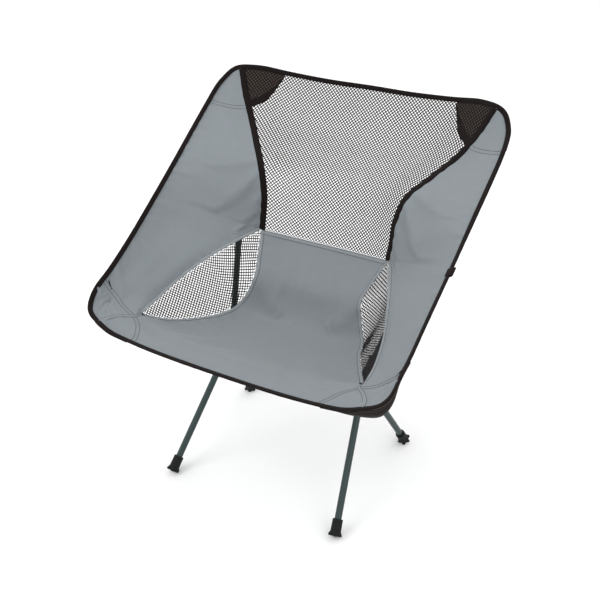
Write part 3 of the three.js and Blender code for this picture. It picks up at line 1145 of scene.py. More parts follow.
@dataclass
class Panel:
    """One panel of the sling, laid over its outline."""

    name: str
    surface: Surface
    rows: int
    columns: int
    drape: Optional[Drape] = None
    grid: Array = field(init=False)

    def __post_init__(self) -> None:
        """Lays the panel."""
        u, v = lattice(np.linspace(0, 1, self.rows), np.linspace(0, 1, self.columns))
        self.grid = self.surface(u, v)
        if self.drape:
            self.grid = self.grid + self.drape.settled(self.surface, self.rows, self.columns)
        if self.drape:
            self.grid = self.grid + facing(self.grid) * self.drape.lift(u, v)[..., None]

    def at(self, u: Array, v: Array) -> Array:
        """Points of the laid panel.

        Args:
            u: shares along the rows.
            v: shares along the columns.

        Returns:
            The points.
        """
        a = np.clip(np.asarray(u, float), 0, 1) * (self.rows - 1)
        b = np.clip(np.asarray(v, float), 0, 1) * (self.columns - 1)
        i = np.minimum(a.astype(int), self.rows - 2)
        j = np.minimum(b.astype(int), self.columns - 2)
        s, t = (a - i)[..., None], (b - j)[..., None]
        near = self.grid[i, j] * (1 - t) + self.grid[i, j + 1] * t
        far = self.grid[i + 1, j] * (1 - t) + self.grid[i + 1, j + 1] * t
        return near * (1 - s) + far * s


def sampled(surface: Surface, rows: int, columns: int) -> Array:
    """A surface on an even grid."""
    return surface(*lattice(np.linspace(0, 1, rows), np.linspace(0, 1, columns)))


def seam_line(surface: Surface, inwards_mm: float, height_mm: float, start: float = 0.0,
              end: float = 1.0) -> Array:
    """A line that runs beside a surface's v = 0 edge.

    Args:
        surface: the panel.
        inwards_mm: how far the line is from the edge.
        height_mm: how far it stands off the panel's middle, towards the sitter.
        start: where it starts, as a share of the edge.
        end: where it ends.

    Returns:
        The line's points.
    """
    narrow = strip(trimmed(surface, start, end), (inwards_mm - 0.6) * MM, (inwards_mm + 0.6) * MM)
    grid = sampled(narrow, 160, 3)
    return grid[:, 1] + facing(grid)[:, 1] * height_mm * MM


@dataclass
class Sling:
    """The sewn sling: its outline and its five laid panels."""

    outline: Outline = Outline()
    edge_under_tape: float = 2.0
    panel_thickness: float = 1.0
    side_end: float = 0.985  # where the side panels stop short of the top corner, as a share of the edge

    def __post_init__(self) -> None:
        """Lays the seat, the side panels and the nets' own surfaces."""
        outline = self.outline
        seat = inset(outline.seat(), self.edge_under_tape * MM, 0.0)
        seat_drape = Drape(
            folds=(
                Fold((0.16, 0.10), (0.30, 0.50), 0.035, 1.8),
                Fold((0.24, 0.04), (0.40, 0.42), 0.04, -1.2),
                Fold((0.84, 0.10), (0.70, 0.50), 0.035, 1.8),
                Fold((0.76, 0.04), (0.60, 0.42), 0.04, -1.2),
                Fold((0.42, 0.62), (0.40, 0.97), 0.035, 1.2),
                Fold((0.62, 0.60), (0.66, 0.97), 0.035, 1.2),
                Fold((0.20, 0.62), (0.27, 0.97), 0.04, 1.5),
                Fold((0.80, 0.62), (0.73, 0.97), 0.04, 1.5),
            ),
            seed=5,
        )
        self.seat = Panel("seat_panel", seat, 190, 140, seat_drape)
        side_drape = Drape(
            folds=(
                Fold((0.10, 0.75), (0.30, 0.15), 0.05, 1.6),
                Fold((0.36, 0.90), (0.42, 0.12), 0.035, -1.5),
                Fold((0.50, 0.92), (0.62, 0.10), 0.04, 2.0),
                Fold((0.60, 0.90), (0.76, 0.15), 0.035, -1.4),
                Fold((0.70, 0.88), (0.88, 0.2), 0.03, 1.3),
            ),
            seed=8,
        )
        self.sides = {
            side: Panel(f"side_panel_{side.word}", self.side_cloth(side), 230, 76, side_drape)
            for side in Side
        }
        self.back = Panel("back_mesh", inset(outline.back(), self.edge_under_tape * MM, 0.0), 90, 70)
        self.windows = {
            side: Panel(f"window_mesh_{side.word}", outline.window(side), 80, 30) for side in Side
        }
        for panel in self.panels():
            LOG.info("%s laid, %.4f m2", panel.name, area_of(panel.grid))

    def side_cloth(self, side: Side) -> Surface:
        """The side panel's cloth, joined to the seat along the corner seam.

        Args:
            side: the half of the chair.

        Returns:
            Its surface.
        """
        outline = self.outline
        corner = curve([outline.side_edge], side)(np.array(1.0))
        whole = coons(
            curve([outline.side_edge], side),
            curve([outline.window_top, outline.back_seam[::-1]], side),
            curve([outline.corner_seam], side),
            lambda t: np.broadcast_to(corner, (*np.shape(t), 3)),
        )
        return inset(trimmed(whole, 0.0, self.side_end), self.edge_under_tape * MM, 0.0)

    def window_end(self) -> float:
        """Where the window's rear tip lies on the laid side panel's inner edge, as a share of its length."""
        return self.outline.window_end() / self.side_end

    def seat_edge(self, side: Side) -> Surface:
        """The seat cloth, u from its front corner along its side, v from that side in."""
        seat = self.seat.at
        return turned(seat) if side is Side.LEFT else turned(lambda u, v: seat(1 - u, v))

    def panels(self) -> List[Panel]:
        """Every laid panel and net."""
        return [self.seat, *self.sides.values(), self.back, *self.windows.values()]

    def finder(self) -> BVHTree:
        """A search tree over every panel's middle surface, with its faces turned to the sitter.

        Returns:
            The tree.
        """
        vertices: List[Array] = []
        faces: List[Array] = []
        count = 0
        for panel in self.panels():
            quads = grid_faces(panel.rows, panel.columns, count)
            if float(np.sum(grid_normals(panel.grid) * facing(panel.grid))) < 0:
                quads = quads[:, ::-1]
            vertices.append(panel.grid.reshape(-1, 3))
            faces.append(quads)
            count += panel.rows * panel.columns
        points = [tuple(p) for p in np.vstack(vertices)]
        return BVHTree.FromPolygons(points, [tuple(int(i) for i in f) for f in np.vstack(faces)])


def area_of(grid: Array) -> float:
    """Area of a grid of points, in square metres."""
    down, over = np.diff(grid, axis=0)[:, :-1], np.diff(grid, axis=1)[:-1]
    return float(np.linalg.norm(np.cross(down, over), axis=-1).sum())


def onto(finder: BVHTree, points: Array, height_mm: float) -> Array:
    """Moves points onto the sling.

    Args:
        finder: the sling's search tree.
        points: any array of points.
        height_mm: how far they then stand off it, towards the sitter.

    Returns:
        The points on the sling.
    """
    flat = points.reshape(-1, 3)
    out = np.zeros_like(flat)
    normals = np.zeros_like(flat)
    for k, p in enumerate(flat):
        place, normal, _, _ = finder.find_nearest(Vector(p))
        out[k] = place
        normals[k] = normal
    normals = normals.reshape(points.shape)
    if points.ndim == 3:
        for _ in range(3):
            padded = np.pad(normals, ((1, 1), (1, 1), (0, 0)), mode="edge")
            rows, columns = points.shape[:2]
            around = [padded[i: i + rows, j: j + columns] for i in range(3) for j in range(3)]
            normals = sum(around) / len(around)
    normals = unit(normals)
    return out.reshape(points.shape) + normals * height_mm * MM


def squared(surface: Surface, finder: BVHTree, reach: float = 0.04) -> Surface:
    """The cloth beside a surface's v = 0 edge, with its v lines square to that edge.

    Args:
        surface: the panel.
        finder: the sling's search tree.
        reach: how far from the edge v = 1 is, in metres.

    Returns:
        The surface.
    """

    def at(u: Array, v: Array) -> Array:
        """Points at u and v."""
        share = np.asarray(u, float)
        zero = np.zeros_like(share)
        root = surface(share, zero)
        tangent = unit(surface(share + 0.004, zero) - surface(share - 0.004, zero))
        inner = surface(share, np.full_like(share, 0.08)) - root
        guide = unit(inner - tangent * np.sum(inner * tangent, axis=-1, keepdims=True))
        return onto(finder, root + guide * (np.asarray(v, float) * reach)[..., None], 0.0)

    return at


# ---- sewn pieces
# GREY_ROW's stitches are wider than the thread, so that with the darker grey thread they also carry the
# painted groove shade.
GREY_ROW = Stitch(3.1, 2.5, 1.15)
EDGE_ROW = Stitch(3.4, 2.6, 0.62)
TAPE_ROW = Stitch(3.2, 2.5, 0.6)
BAR_ROW = Stitch(4.4, 4.0, 0.7)


@dataclass
class SlingWork:
    """What every sewn part of the sling is made with."""

    sling: Sling
    finishes: Finishes
    sewing: SewnRow
    finder: BVHTree
    bar_height: float = 1.2
    bar_step: float = 0.55
    bar_half_width: float = 2.2
    bar_half_count: int = 6

    def bar_tack(self, name: str, centre: Array, along: Array, up: Array) -> None:
        """Sews one short dense bar.

        Args:
            name: the piece's name.
            centre: its middle, on the cloth.
            along: the direction of the bar.
            up: the direction away from the cloth.
        """
        reach = unit(np.cross(along, up)) * self.bar_half_width * MM
        steps = range(-self.bar_half_count, self.bar_half_count + 1)
        middles = [centre + up * self.bar_height * MM + along * k * self.bar_step * MM for k in steps]
        lines = [np.array([middle - reach, middle + reach]) for middle in middles]
        self.sewing.sew(name, lines, BAR_ROW, self.finishes.dark_thread)


@dataclass
class Cloths(SlingWork):
    """The grey panels with their folded hems."""

    hem_width: float = 7.0
    hem_thickness: float = 2.2
    seam_width: float = 3.5
    first_share: float = 0.004  # where a window's hem starts
    seat_seam_start: float = 0.03
    side_seam_start: float = 0.05

    def build(self) -> None:
        """Builds the seat and side panels and their hems."""
        sling, fabric = self.sling, self.finishes.fabric
        thickness = sling.panel_thickness * MM
        start, end = sling.outline.window_start(), sling.window_end()
        seat = finished("seat_cloth", cloth_mesh(sling.seat.grid, thickness), fabric, ["seat_panel"])
        hems = [self.hem("seat_rear_hem", flipped(sling.seat.at), 0.0, 1.0, self.hem_width)]
        for side in Side:
            edge = sling.seat_edge(side)
            hems.append(self.hem(f"window_low_hem_{side.word}", edge, start, 1.0, self.hem_width))
            seam = f"corner_seam_seat_{side.word}"
            hems.append(self.hem(seam, edge, self.seat_seam_start, start, self.seam_width))
        for side in Side:
            panel, word = sling.sides[side], side.word
            mesh = cloth_mesh(panel.grid, thickness)
            piece = finished(f"side_cloth_{word}", mesh, fabric, [f"side_panel_{word}"])
            inner = squared(flipped(panel.at), self.finder)
            seam, seam_start = turned(panel.at), self.side_seam_start
            side_hems = [
                self.hem(f"window_top_hem_{word}", inner, self.first_share, end, self.hem_width),
                self.hem(f"corner_seam_side_{word}", seam, seam_start, 1.0, self.seam_width),
            ]

    def hem(self, name: str, surface: Surface, start: float, end: float, width: float) -> Piece:
        """Builds one folded hem.

        Args:
            name: the piece's name.
            surface: a panel whose v = 0 edge has the hem.
            start: where the hem starts, as a share of the edge.
            end: where it ends.
            width: in millimetres.

        Returns:
            The piece.
        """
        band = strip(trimmed(surface, start, end), -0.2 * MM, width * MM)
        grid = sampled(band, 150, 6)
        mesh = rounded_sheet(grid, self.hem_thickness * MM)
        # The hem's finish is the grey cloth painted lighter, a painted highlight on the fold.
        return finished(name, mesh, self.finishes.hem)


def rounded_sheet(grid: Array, thickness: float) -> Mesh:
    """A closed sheet whose long edges are rounded off.

    Args:
        grid: the middle surface.
        thickness: in metres.

    Returns:
        The mesh.
    """
    rows, columns = grid.shape[:2]
    normal = grid_normals(grid)
    share = np.linspace(-1, 1, columns)
    half = thickness / 2 * np.clip(1 - np.abs(share) ** 6 * 0.55, 0, 1)
    top = grid + normal * half[None, :, None]
    bottom = grid - normal * half[None, :, None]
    rings = np.concatenate([top, bottom[:, ::-1]], axis=1)
    return sweep(rings)


@dataclass
class Nets(SlingWork):
    """The knitted nets of the back and of the two windows."""

    knitter: PerforatedNet = field(default_factory=PerforatedNet)
    pitch: float = 4.6
    hole: float = 0.66
    thickness: float = 0.55
    samples: int = 300
    least_cell: float = 0.15  # the smallest cell that is kept, as a share of a whole one

    def build(self) -> None:
        """Builds the three nets."""
        back = self.net("back_net", self.sling.back, False, ["back_mesh"])
        for side in Side:
            panel = self.sling.windows[side]
            window = self.net(f"window_net_{side.word}", panel, True, [f"window_mesh_{side.word}"])

    def net(self, name: str, panel: Panel, along: bool, nodes: List[str]) -> Piece:
        """Knits one net.

        Args:
            name: the piece's name.
            panel: the laid surface.
            along: whether the net's middle line follows u, else v.
            nodes: the frame's nodes that it stands for.

        Returns:
            The piece.
        """
        at = panel.at if along else turned(panel.at)
        step = self.pitch / math.sqrt(2) * MM
        middle = sampled(at, self.samples, 3)[:, 1]
        travel = np.concatenate([[0], np.cumsum(np.linalg.norm(np.diff(middle, axis=0), axis=1))])
        shares = np.linspace(0, 1, self.samples)
        widths = np.linalg.norm(np.diff(sampled(at, self.samples, 60), axis=1), axis=-1).sum(axis=1)
        count = int(travel[-1] / step) + 2
        half = int(widths.max() / 2 / step) + 2
        i, j = np.meshgrid(np.arange(count), np.arange(-half, half + 1), indexing="ij")
        u = np.interp(i * step, travel, shares)
        width = np.maximum(np.interp(u, shares, widths), 1e-5)
        v = 0.5 + j * step / width
        beyond = i * step > travel[-1]
        place = at(u, np.clip(v, 0, 1))
        inside = (v > 0.0) & (v < 1.0) & ~beyond
        number = np.arange(i.size).reshape(i.shape)
        centre = np.zeros_like(inside)
        centre[1:-1, 1:-1] = inside[1:-1, 1:-1] & ((i + j) % 2 == 1)[1:-1, 1:-1]
        a, b = np.nonzero(centre)
        cells = np.stack([number[a - 1, b], number[a, b + 1], number[a + 1, b], number[a, b - 1]], axis=1)
        points = place.reshape(-1, 3)
        corner = points[cells]
        diagonals = np.cross(corner[:, 2] - corner[:, 0], corner[:, 3] - corner[:, 1])
        cells = cells[np.linalg.norm(diagonals, axis=1) / 2 > self.least_cell * step * step]
        used, index = np.unique(cells, return_inverse=True)
        uv = np.stack([i.ravel() * step, j.ravel() * step], axis=1)
        base = mesh_of(points[used], index.reshape(cells.shape), uv[used])
        mesh = self.knitter.knit(base, self.hole, self.thickness * MM, self.finishes.net)
        return finished(name, outward(mesh), self.finishes.net, nodes)


@dataclass
class EdgeBinding(SlingWork):
    """The tape folded round the whole edge of the sling."""

    width: float = 8.6
    thickness: float = 3.0
    step: float = 3.0
    stitch_in: float = 6.6
    swell: float = 0.05  # how much the tape's thickness rises and falls along the edge
    off_corner: Pair = (0.03, 0.96)  # where the inward direction is still read, near a corner
    inward_share: float = 0.08

    def edge(self) -> Tuple[Array, Array]:
        """The edge of the sling as a closed ring of points, with a direction inwards at each."""
        outline = self.sling.outline
        parts = (
            (outline.seat(), False), (outline.side_panel(Side.RIGHT), False),
            (outline.back(), True), (outline.side_panel(Side.LEFT), True),
        )
        line: List[Array] = []
        guide: List[Array] = []
        for surface, backwards in parts:
            fine = sampled(surface, 400, 2)[:, 0]
            length = float(np.linalg.norm(np.diff(fine, axis=0), axis=1).sum())
            u = np.linspace(0, 1, round(length / (self.step * MM)), endpoint=False)
            u = 1 - u if backwards else u
            on = surface(u, np.zeros_like(u))
            off_corner = np.clip(u, *self.off_corner)
            inner = surface(off_corner, np.full_like(u, self.inward_share))
            root = surface(off_corner, np.zeros_like(u))
            line.append(on)
            guide.append(unit(inner - root))
        ring, inwards = np.vstack(line), np.vstack(guide)
        return self.softened(ring, 4), unit(self.softened(inwards, 9))

    @staticmethod
    def softened(ring: Array, reach: int) -> Array:
        """A closed row of values averaged over its neighbours."""
        return sum(np.roll(ring, k, axis=0) for k in range(-reach, reach + 1)) / (2 * reach + 1)

    def build(self) -> None:
        """Builds the tape and its stitches."""
        ring, inwards = self.edge()
        wrapped = np.vstack([ring[-1:], ring, ring[:1]])
        guides = np.vstack([inwards[-1:], inwards, inwards[:1]])
        _, guides, normal = (part[1:-1] for part in frame_along(wrapped, guides))
        half, width = self.thickness / 2, self.width
        outside = (
            (width, 0.5), (width - 0.2, 0.85), (width - 2.0, half - 0.45), (5.0, half - 0.2),
            (2.6, half), (1.0, half - 0.1), (0.25, half - 0.6), (0.0, 0.35),
        )
        inside = ((5.5, half - 0.8), (2.8, half - 0.7), (1.1, 0.5))
        profile = (
            *outside, *((x, -y) for x, y in outside[::-1]),
            *((x, -y) for x, y in inside), (0.8, 0.0), *inside[::-1],
        )
        phase = np.arange(len(ring))
        swell = 1 + self.swell * np.sin(phase * 0.9) + self.swell * np.sin(phase * 0.23 + 1.0)
        rings = np.stack(
            [ring + guides * x * MM + normal * (y * MM * swell)[:, None] for x, y in profile], axis=1,
        )
        nodes = ["binding_front", "binding_right", "binding_top", "binding_left"]
        tape = finished("edge_tape", sweep(rings, closed=True), self.finishes.webbing, nodes)
        rows = []
        for face in (1, -1):
            row = ring + guides * self.stitch_in * MM + normal * face * (half - 0.25) * MM
            rows.append(np.vstack([row, row[:1]]))
        thread = self.sewing.sew("edge_tape_stitches", rows, EDGE_ROW, self.finishes.dark_thread)


@dataclass
class SeamTapes(SlingWork):
    """The dark tapes over the seams between the back net and the side panels, and the webbing tab."""

    over_cloth: float = 4.6
    over_net: float = 7.4
    thickness: float = 2.4
    lift: float = 0.35
    row_in: float = 1.6
    tape_ends: Pair = (0.02, 1.0)
    row_ends: Pair = (0.04, 0.99)
    tab_at: float = 0.4485
    tab_half: float = 0.012

    def build(self) -> None:
        """Builds the tapes, their stitches and the tab."""
        for side in Side:
            edge = turned(self.sling.back.at) if side is Side.LEFT else turned(self.mirrored)
            u, w = lattice(np.linspace(*self.tape_ends, 200), np.linspace(-self.over_cloth, self.over_net, 9))
            mesh = rounded_sheet(self.beside(edge, u, w, self.lift), self.thickness * MM)
            nodes = [f"seam_tape_{side.word}"]
            tape = finished(f"back_seam_tape_{side.word}", mesh, self.finishes.webbing, nodes)
            along = np.linspace(*self.row_ends, 160)
            rows = [
                self.beside(edge, along, np.full_like(along, w), self.lift + face * self.thickness / 2)
                for w in (self.row_in - self.over_cloth, self.over_net - self.row_in) for face in (1, -1)
            ]
            name = f"seam_tape_stitches_{side.word}"
            thread = self.sewing.sew(name, rows, TAPE_ROW, self.finishes.dark_thread)
        self.tab()

    def beside(self, edge: Surface, u: Array, w: Array, height_mm: float) -> Array:
        """Points beside the seam.

        Args:
            edge: the back net, with u along the seam.
            u: shares along the seam.
            w: millimetres from the seam, towards the net where positive.
            height_mm: how far the points stand off the sling.

        Returns:
            The points.
        """
        root = edge(u, np.zeros_like(u))
        guide = unit(edge(u, np.full_like(u, 0.05)) - root)
        return onto(self.finder, root + guide * w[..., None] * MM, height_mm)

    def mirrored(self, u: Array, v: Array) -> Array:
        """The back net read from its right side."""
        return self.sling.back.at(1 - u, v)

    def tab(self) -> None:
        """Builds the folded webbing tab on the right side edge."""
        panel = self.sling.outline.side_panel(Side.RIGHT)
        u = np.linspace(self.tab_at - self.tab_half, self.tab_at + self.tab_half, 14)
        on = panel(u, np.zeros_like(u))
        inner = panel(u, np.full_like(u, 0.1))
        _, guide, normal = frame_along(on, inner - on)
        outer_path = (
            (10.5, 1.75), (9.0, 2.1), (5.0, 2.35), (0.5, 2.4), (-3.0, 2.1), (-5.4, 1.4), (-6.4, 0.5),
        )
        inner_path = (
            (10.5, -1.1), (9.0, -1.3), (5.0, -1.5), (0.5, -1.6), (-3.0, -1.2), (-4.8, -0.6),
        )
        path = (
            *outer_path, *((x, -y) for x, y in outer_path[::-1]),
            *inner_path, (-5.3, 0.0), *((x, -y) for x, y in inner_path[::-1]),
        )
        rings = np.stack([on + guide * x * MM + normal * y * MM for x, y in path], axis=1)
        tab = finished("webbing_tab", sweep(rings), self.finishes.webbing, ["loop_tab"])


@dataclass
class CornerPockets(SlingWork):
    """The corner pockets that hold the pole tips, their flat backing, and the double rows on the cloth."""

    bulge: float = 30.0
    front_narrowing: float = 2.2
    rear_narrowing: float = 0.6
    standoff: float = 4.5
    thickness: float = 1.2
    front_away: Triple = (0.45, 0.1, -1.0)
    rear_away: Triple = (0.15, 1.0, -0.25)
    mouth: Pair = (0.84, 0.905)  # where the mouth's hem lies between the rim and the arc
    mouth_thickness: float = 2.4
    backing_height: float = -1.35
    backing_thickness: float = 0.8
    tape: Pair = (0.86, 1.04)  # where the backing's tape lies between the rim and the arc
    tape_height: float = 0.8
    tape_thickness: float = 1.0
    row_ends: Pair = (0.03, 0.97)
    row_height: float = 0.6
    rim_share: float = 0.14
    full_share: float = 0.76
    rim_standoff: float = 2.2
    row_gap: float = 6.0
    seam_share: float = 0.45

    def build(self) -> None:
        """Builds the four corners."""
        outline = self.sling.outline
        front_rim = [*outline.front_edge[2:], *outline.side_edge[1:5]]
        rear_rim = [*outline.side_edge[9:], *outline.top_edge[1:3]]
        for side in Side:
            corners = (
                ("front", front_rim, outline.front_pocket_arc, outline.front_row_arc,
                 self.front_away, self.front_narrowing),
                ("rear", rear_rim, outline.rear_pocket_arc, outline.rear_row_arc,
                 self.rear_away, self.rear_narrowing),
            )
            for place, rim, arc, _, away, narrowing in corners:
                outward_from = unit(np.array([away[0] * side.value, *away[1:]]))
                word = f"{place}_{side.word}"
                self.sock(word, curve([rim], side), curve([arc], side), outward_from, narrowing)
            for place, rim, _, row_arc, _, _ in corners:
                word = f"{place}_{side.word}"
                self.backing(word, curve([rim], side), curve([row_arc], side))
                self.rows(word, curve([row_arc], side))

    def sock(self, word: str, rim: Curve, arc: Curve, away: Array, narrowing: float) -> None:
        """Builds the pocket's skin and the hem of its mouth.

        Args:
            word: the corner, such as front_left.
            rim: the sling's edge at the corner.
            arc: the line over which the mouth lies.
            away: direction from the cloth to the pole.
            narrowing: how fast the skin closes in round the pole: higher is narrower.
        """

        def skin(u: Array, w: Array) -> Array:
            """The pocket's cloth, with w from the rim to its free hem.

            Args:
                u: shares along the corner.
                w: shares from the rim to the arc.

            Returns:
                The points.
            """
            v = np.clip((w - self.rim_share) / self.full_share, 0, 1)
            round_off = np.sin(math.pi * np.clip(u, 0, 1)) ** narrowing
            swell = round_off * np.sin(math.pi / 2 * v) ** 0.35
            near = np.minimum(round_off, np.clip(w / self.rim_share, 0, 1))
            stand = self.rim_standoff + (self.standoff - self.rim_standoff) * near
            on = rim(u) * (1 - w)[..., None] + arc(u) * w[..., None]
            return on + away * ((stand + self.bulge * swell) * MM)[..., None]

        grid = skin(*lattice(np.linspace(0, 1, 72), 0.04 + 0.86 * np.linspace(0, 1, 40) ** 1.3))
        mesh = cloth_mesh(grid, self.thickness * MM)
        pocket = finished(f"corner_pocket_{word}", mesh, self.finishes.pocket, [f"pocket_{word}"])
        mouth = skin(*lattice(np.linspace(0, 1, 90), np.linspace(*self.mouth, 6)))
        mesh = rounded_sheet(mouth, self.mouth_thickness * MM)
        mouth_hem = finished(f"pocket_mouth_hem_{word}", mesh, self.finishes.webbing)

    def backing(self, word: str, rim: Curve, arc: Curve) -> None:
        """Builds the flat backing behind a corner, and at the top its taped edge over the net.

        Args:
            word: the corner, such as front_left.
            rim: the sling's edge at the corner.
            arc: the line over which the backing ends.
        """

        def between(first: float, last: float, start: float, end: float, size: Tuple[int, int]) -> Array:
            """Points from first to last along the corner and from start to end between rim and arc.

            Args:
                first: the first share along the corner.
                last: the last share along it.
                start: the rim's end, as a share of the way to the arc.
                end: the arc's end.
                size: how many points each way.

            Returns:
                The points.
            """
            u, w = lattice(np.linspace(first, last, size[0]), np.linspace(start, end, size[1]))
            return rim(u) * (1 - w)[..., None] + arc(u) * w[..., None]

        cloth = onto(self.finder, between(0.0, 1.0, 0.03, 1.0, (60, 30)), self.backing_height)
        mesh = cloth_mesh(cloth, self.backing_thickness * MM)
        sheet = finished(f"corner_backing_{word}", mesh, self.finishes.backing)
        if word.startswith("rear"):
            band = onto(self.finder, between(self.seam_share, 1.0, *self.tape, (50, 9)), self.tape_height)
            mesh = rounded_sheet(band, self.tape_thickness * MM)
            tape = finished(f"backing_tape_{word}", mesh, self.finishes.webbing)

    def rows(self, word: str, arc: Curve) -> None:
        """Sews the double rows along a corner's arc, and at the top a dense bar where they meet the seam.

        Args:
            word: the corner, such as front_left.
            arc: the line between the two rows.
        """
        share = np.linspace(*self.row_ends, 120)
        middle = onto(self.finder, arc(share), 0.0)
        rear = word.startswith("rear")
        on_cloth = share < (self.seam_share - self.row_ends[0] if rear else 1.0)
        above = onto(self.finder, middle, 1.0) - middle
        _, _, over = frame_along(middle, above)
        lines = [
            onto(self.finder, middle + over * shift * self.row_gap * MM, face * self.row_height)[on_cloth]
            for shift in (-0.5, 0.5) for face in (1, -1)
        ]
        self.sewing.sew(f"corner_rows_{word}", lines, GREY_ROW, self.finishes.grey_thread)
        if rear:
            place = int(np.searchsorted(share, self.seam_share))
            along = unit(middle[place + 1] - middle[place - 1])
            up = unit(above[place])
            self.bar_tack(f"seam_bar_{word}", middle[place], along, up)


@dataclass
class PanelStitches(SlingWork):
    """The rows along the hems and seams of the grey panels, and the bars at their ends."""

    row_in: float = 6.0
    seam_row_in: float = 2.7
    edge_row_in: float = 1.5
    height: float = 1.0
    first_share: float = 0.004  # where a window's rows start, as its hem does

    def build(self) -> None:
        """Sews the rows."""
        start, end = self.sling.outline.window_start(), self.sling.window_end()
        rear = flipped(self.sling.seat.at)
        rows = [self.line(rear, inwards, face, 0.01, 0.99) for inwards in (self.edge_row_in, self.row_in)
                for face in (1, -1)]
        self.sewing.sew("rear_seam_rows", rows, GREY_ROW, self.finishes.grey_thread)
        for side in Side:
            edge, panel = self.sling.seat_edge(side), self.sling.sides[side].at
            inner = squared(flipped(panel), self.finder)
            lines = []
            for face in (1, -1):
                lines.append(self.line(edge, self.row_in, face, start, 0.995))
                lines.append(self.line(inner, self.row_in, face, self.first_share, end))
                lines.append(self.line(edge, self.seam_row_in, face, 0.05, start))
                lines.append(self.line(turned(panel), self.seam_row_in, face, 0.06, 1.0))
            self.sewing.sew(f"panel_rows_{side.word}", lines, GREY_ROW, self.finishes.grey_thread)
            self.bar(side, edge, start)

    def line(self, surface: Surface, inwards: float, face: int, start: float, end: float) -> Array:
        """One row on one face of a hem."""
        return seam_line(surface, inwards, face * self.height, start, end)

    def bar(self, side: Side, edge: Surface, start: float) -> None:
        """Sews the short dense bar at a window's front tip."""
        before, centre, after = (edge(np.array(start + step), np.array(0.004)) for step in (-0.02, 0.0, 0.02))
        self.bar_tack(f"bar_tack_{side.word}", centre, unit(after - before), np.array([0.0, 0.0, 1.0]))


# ---- the frame
@dataclass(frozen=True)
class Axis:
    """A straight line of the frame, measured in millimetres from its start."""

    start: Array
    direction: Array
    length: float

    @classmethod
    def between(cls, start: Array, end: Array) -> "Axis":
        """The axis from one point to another."""
        gap = end - start
        size = float(np.linalg.norm(gap))
        return cls(start, gap / size, size / MM)

    def at(self, along: float) -> Array:
        """The point so many millimetres along."""
        return self.start + self.direction * along * MM


@dataclass(frozen=True)
class FrameSizes:
    """The frame's points and sizes, in millimetres."""

    hub: Triple = (134, 18, 212)
    front_foot: Triple = (167.8, -151, 0)
    rear_foot: Triple = (176, 150, 0)
    elbow: Triple = (179, 127, 404)
    tube_radius: float = 6.0
    tube_wall: float = 0.8
    gap: float = 0.35
    socket_floor: float = 14.0
    socket_mouth: float = 46.0
    socket_radius: float = 9.0
    core_radius: float = 13.0
    elbow_straight: float = 30.0
    elbow_bend: float = 50.0
    tip_radius: float = 7.4
    tip_length: float = 20.0
    tip_floor: float = 3.0
    tip_depth: float = 10.0
    tip_ribs: int = 4
    tip_rib_step: float = 3.2
    front_tip: Pair = (0.045, 27.0)  # its share of the side edge, and how far in from it
    rear_tip: Pair = (0.925, 23.0)
    foot_rim: float = 11.2
    foot_lobe: float = 2.0
    foot_lobes: int = 6
    foot_length: float = 28.0
    foot_sole: float = 8.0
    foot_wear: float = 2.6


@dataclass
class FrameSide:
    """The axes of one side of the frame."""

    side: Side
    sizes: FrameSizes
    outline: Outline

    def __post_init__(self) -> None:
        """Works out the axes."""
        sizes = self.sizes
        self.hub = point(sizes.hub, self.side)
        self.front_leg = Axis.between(self.hub, point(sizes.front_foot, self.side))
        self.rear_leg = Axis.between(self.hub, point(sizes.rear_foot, self.side))
        self.cross = Axis.between(self.hub, self.hub * np.array([0, 1, 1]))
        self.front_tip = self.tip(*sizes.front_tip, np.array([self.side.value, 0.0, -2.0]))
        self.rear_tip = self.tip(*sizes.rear_tip, np.array([0.0, 1.0, 0.0]))
        self.seat_pole = Axis.between(self.hub, self.front_tip)
        self.lower_pole = Axis.between(self.hub, point(sizes.elbow, self.side))
        self.bend = self.lower_pole.at(self.lower_pole.length + sizes.elbow_straight + sizes.elbow_bend / 2)
        self.upper_pole = Axis.between(self.bend, self.rear_tip)

    def tip(self, u: float, from_edge: float, away: Array) -> Array:
        """Where a pole tip sits behind the sling.

        Args:
            u: its place along the side edge.
            from_edge: how far in from the edge, in millimetres.
            away: rough direction away from the sling.

        Returns:
            The tip's centre.
        """
        panel = self.outline.side_panel(self.side)

        def at(a: float, b: float) -> Array:
            """One point of the panel."""
            return panel(np.array([a]), np.array([b]))[0]

        step = 0.01
        normal = unit(np.cross(at(u + step, 0.1) - at(u - step, 0.1), at(u, 0.11) - at(u, 0.09)))
        on = inset(panel, from_edge * MM, 0.0)(np.array([u]), np.array([0.0]))[0]
        return on + normal * math.copysign(self.sizes.tip_depth * MM, float(normal @ away))

    def sockets(self) -> List[Axis]:
        """The axes of the hub's five sockets."""
        return [self.front_leg, self.rear_leg, self.cross, self.seat_pole, self.lower_pole]


def tube_rings(points: Array, radius: float, inner: float, sides: int = 40) -> Array:
    """Rings of a hollow tube along a line, out along its skin and back through its bore.

    Args:
        points: the line.
        radius: outer radius in millimetres.
        inner: inner radius in millimetres.
        sides: points round the tube.

    Returns:
        The rings, of which the last joins the first.
    """
    tangent = unit(np.gradient(points, axis=0))
    side = np.array(Vector(tangent[0]).orthogonal().normalized())
    frames = []
    for direction in tangent:
        side = unit(side - direction * float(side @ direction))
        frames.append((side, np.cross(direction, side)))
    angle = np.linspace(0, math.tau, sides, endpoint=False)

    def ring(k: int, r: float, shift: float = 0.0) -> Array:
        """One ring round the line."""
        a, b = frames[k]
        round_it = np.cos(angle)[:, None] * a + np.sin(angle)[:, None] * b
        return points[k] + tangent[k] * shift * MM + round_it * r * MM

    last = len(points) - 1
    skin = [ring(0, radius - 0.25)] + [ring(0, radius, 0.3)] + [ring(k, radius) for k in range(1, last)]
    skin += [ring(last, radius, -0.3), ring(last, radius - 0.25)]
    bore = [ring(k, inner) for k in range(last, -1, -1)]
    return np.array(skin + bore)


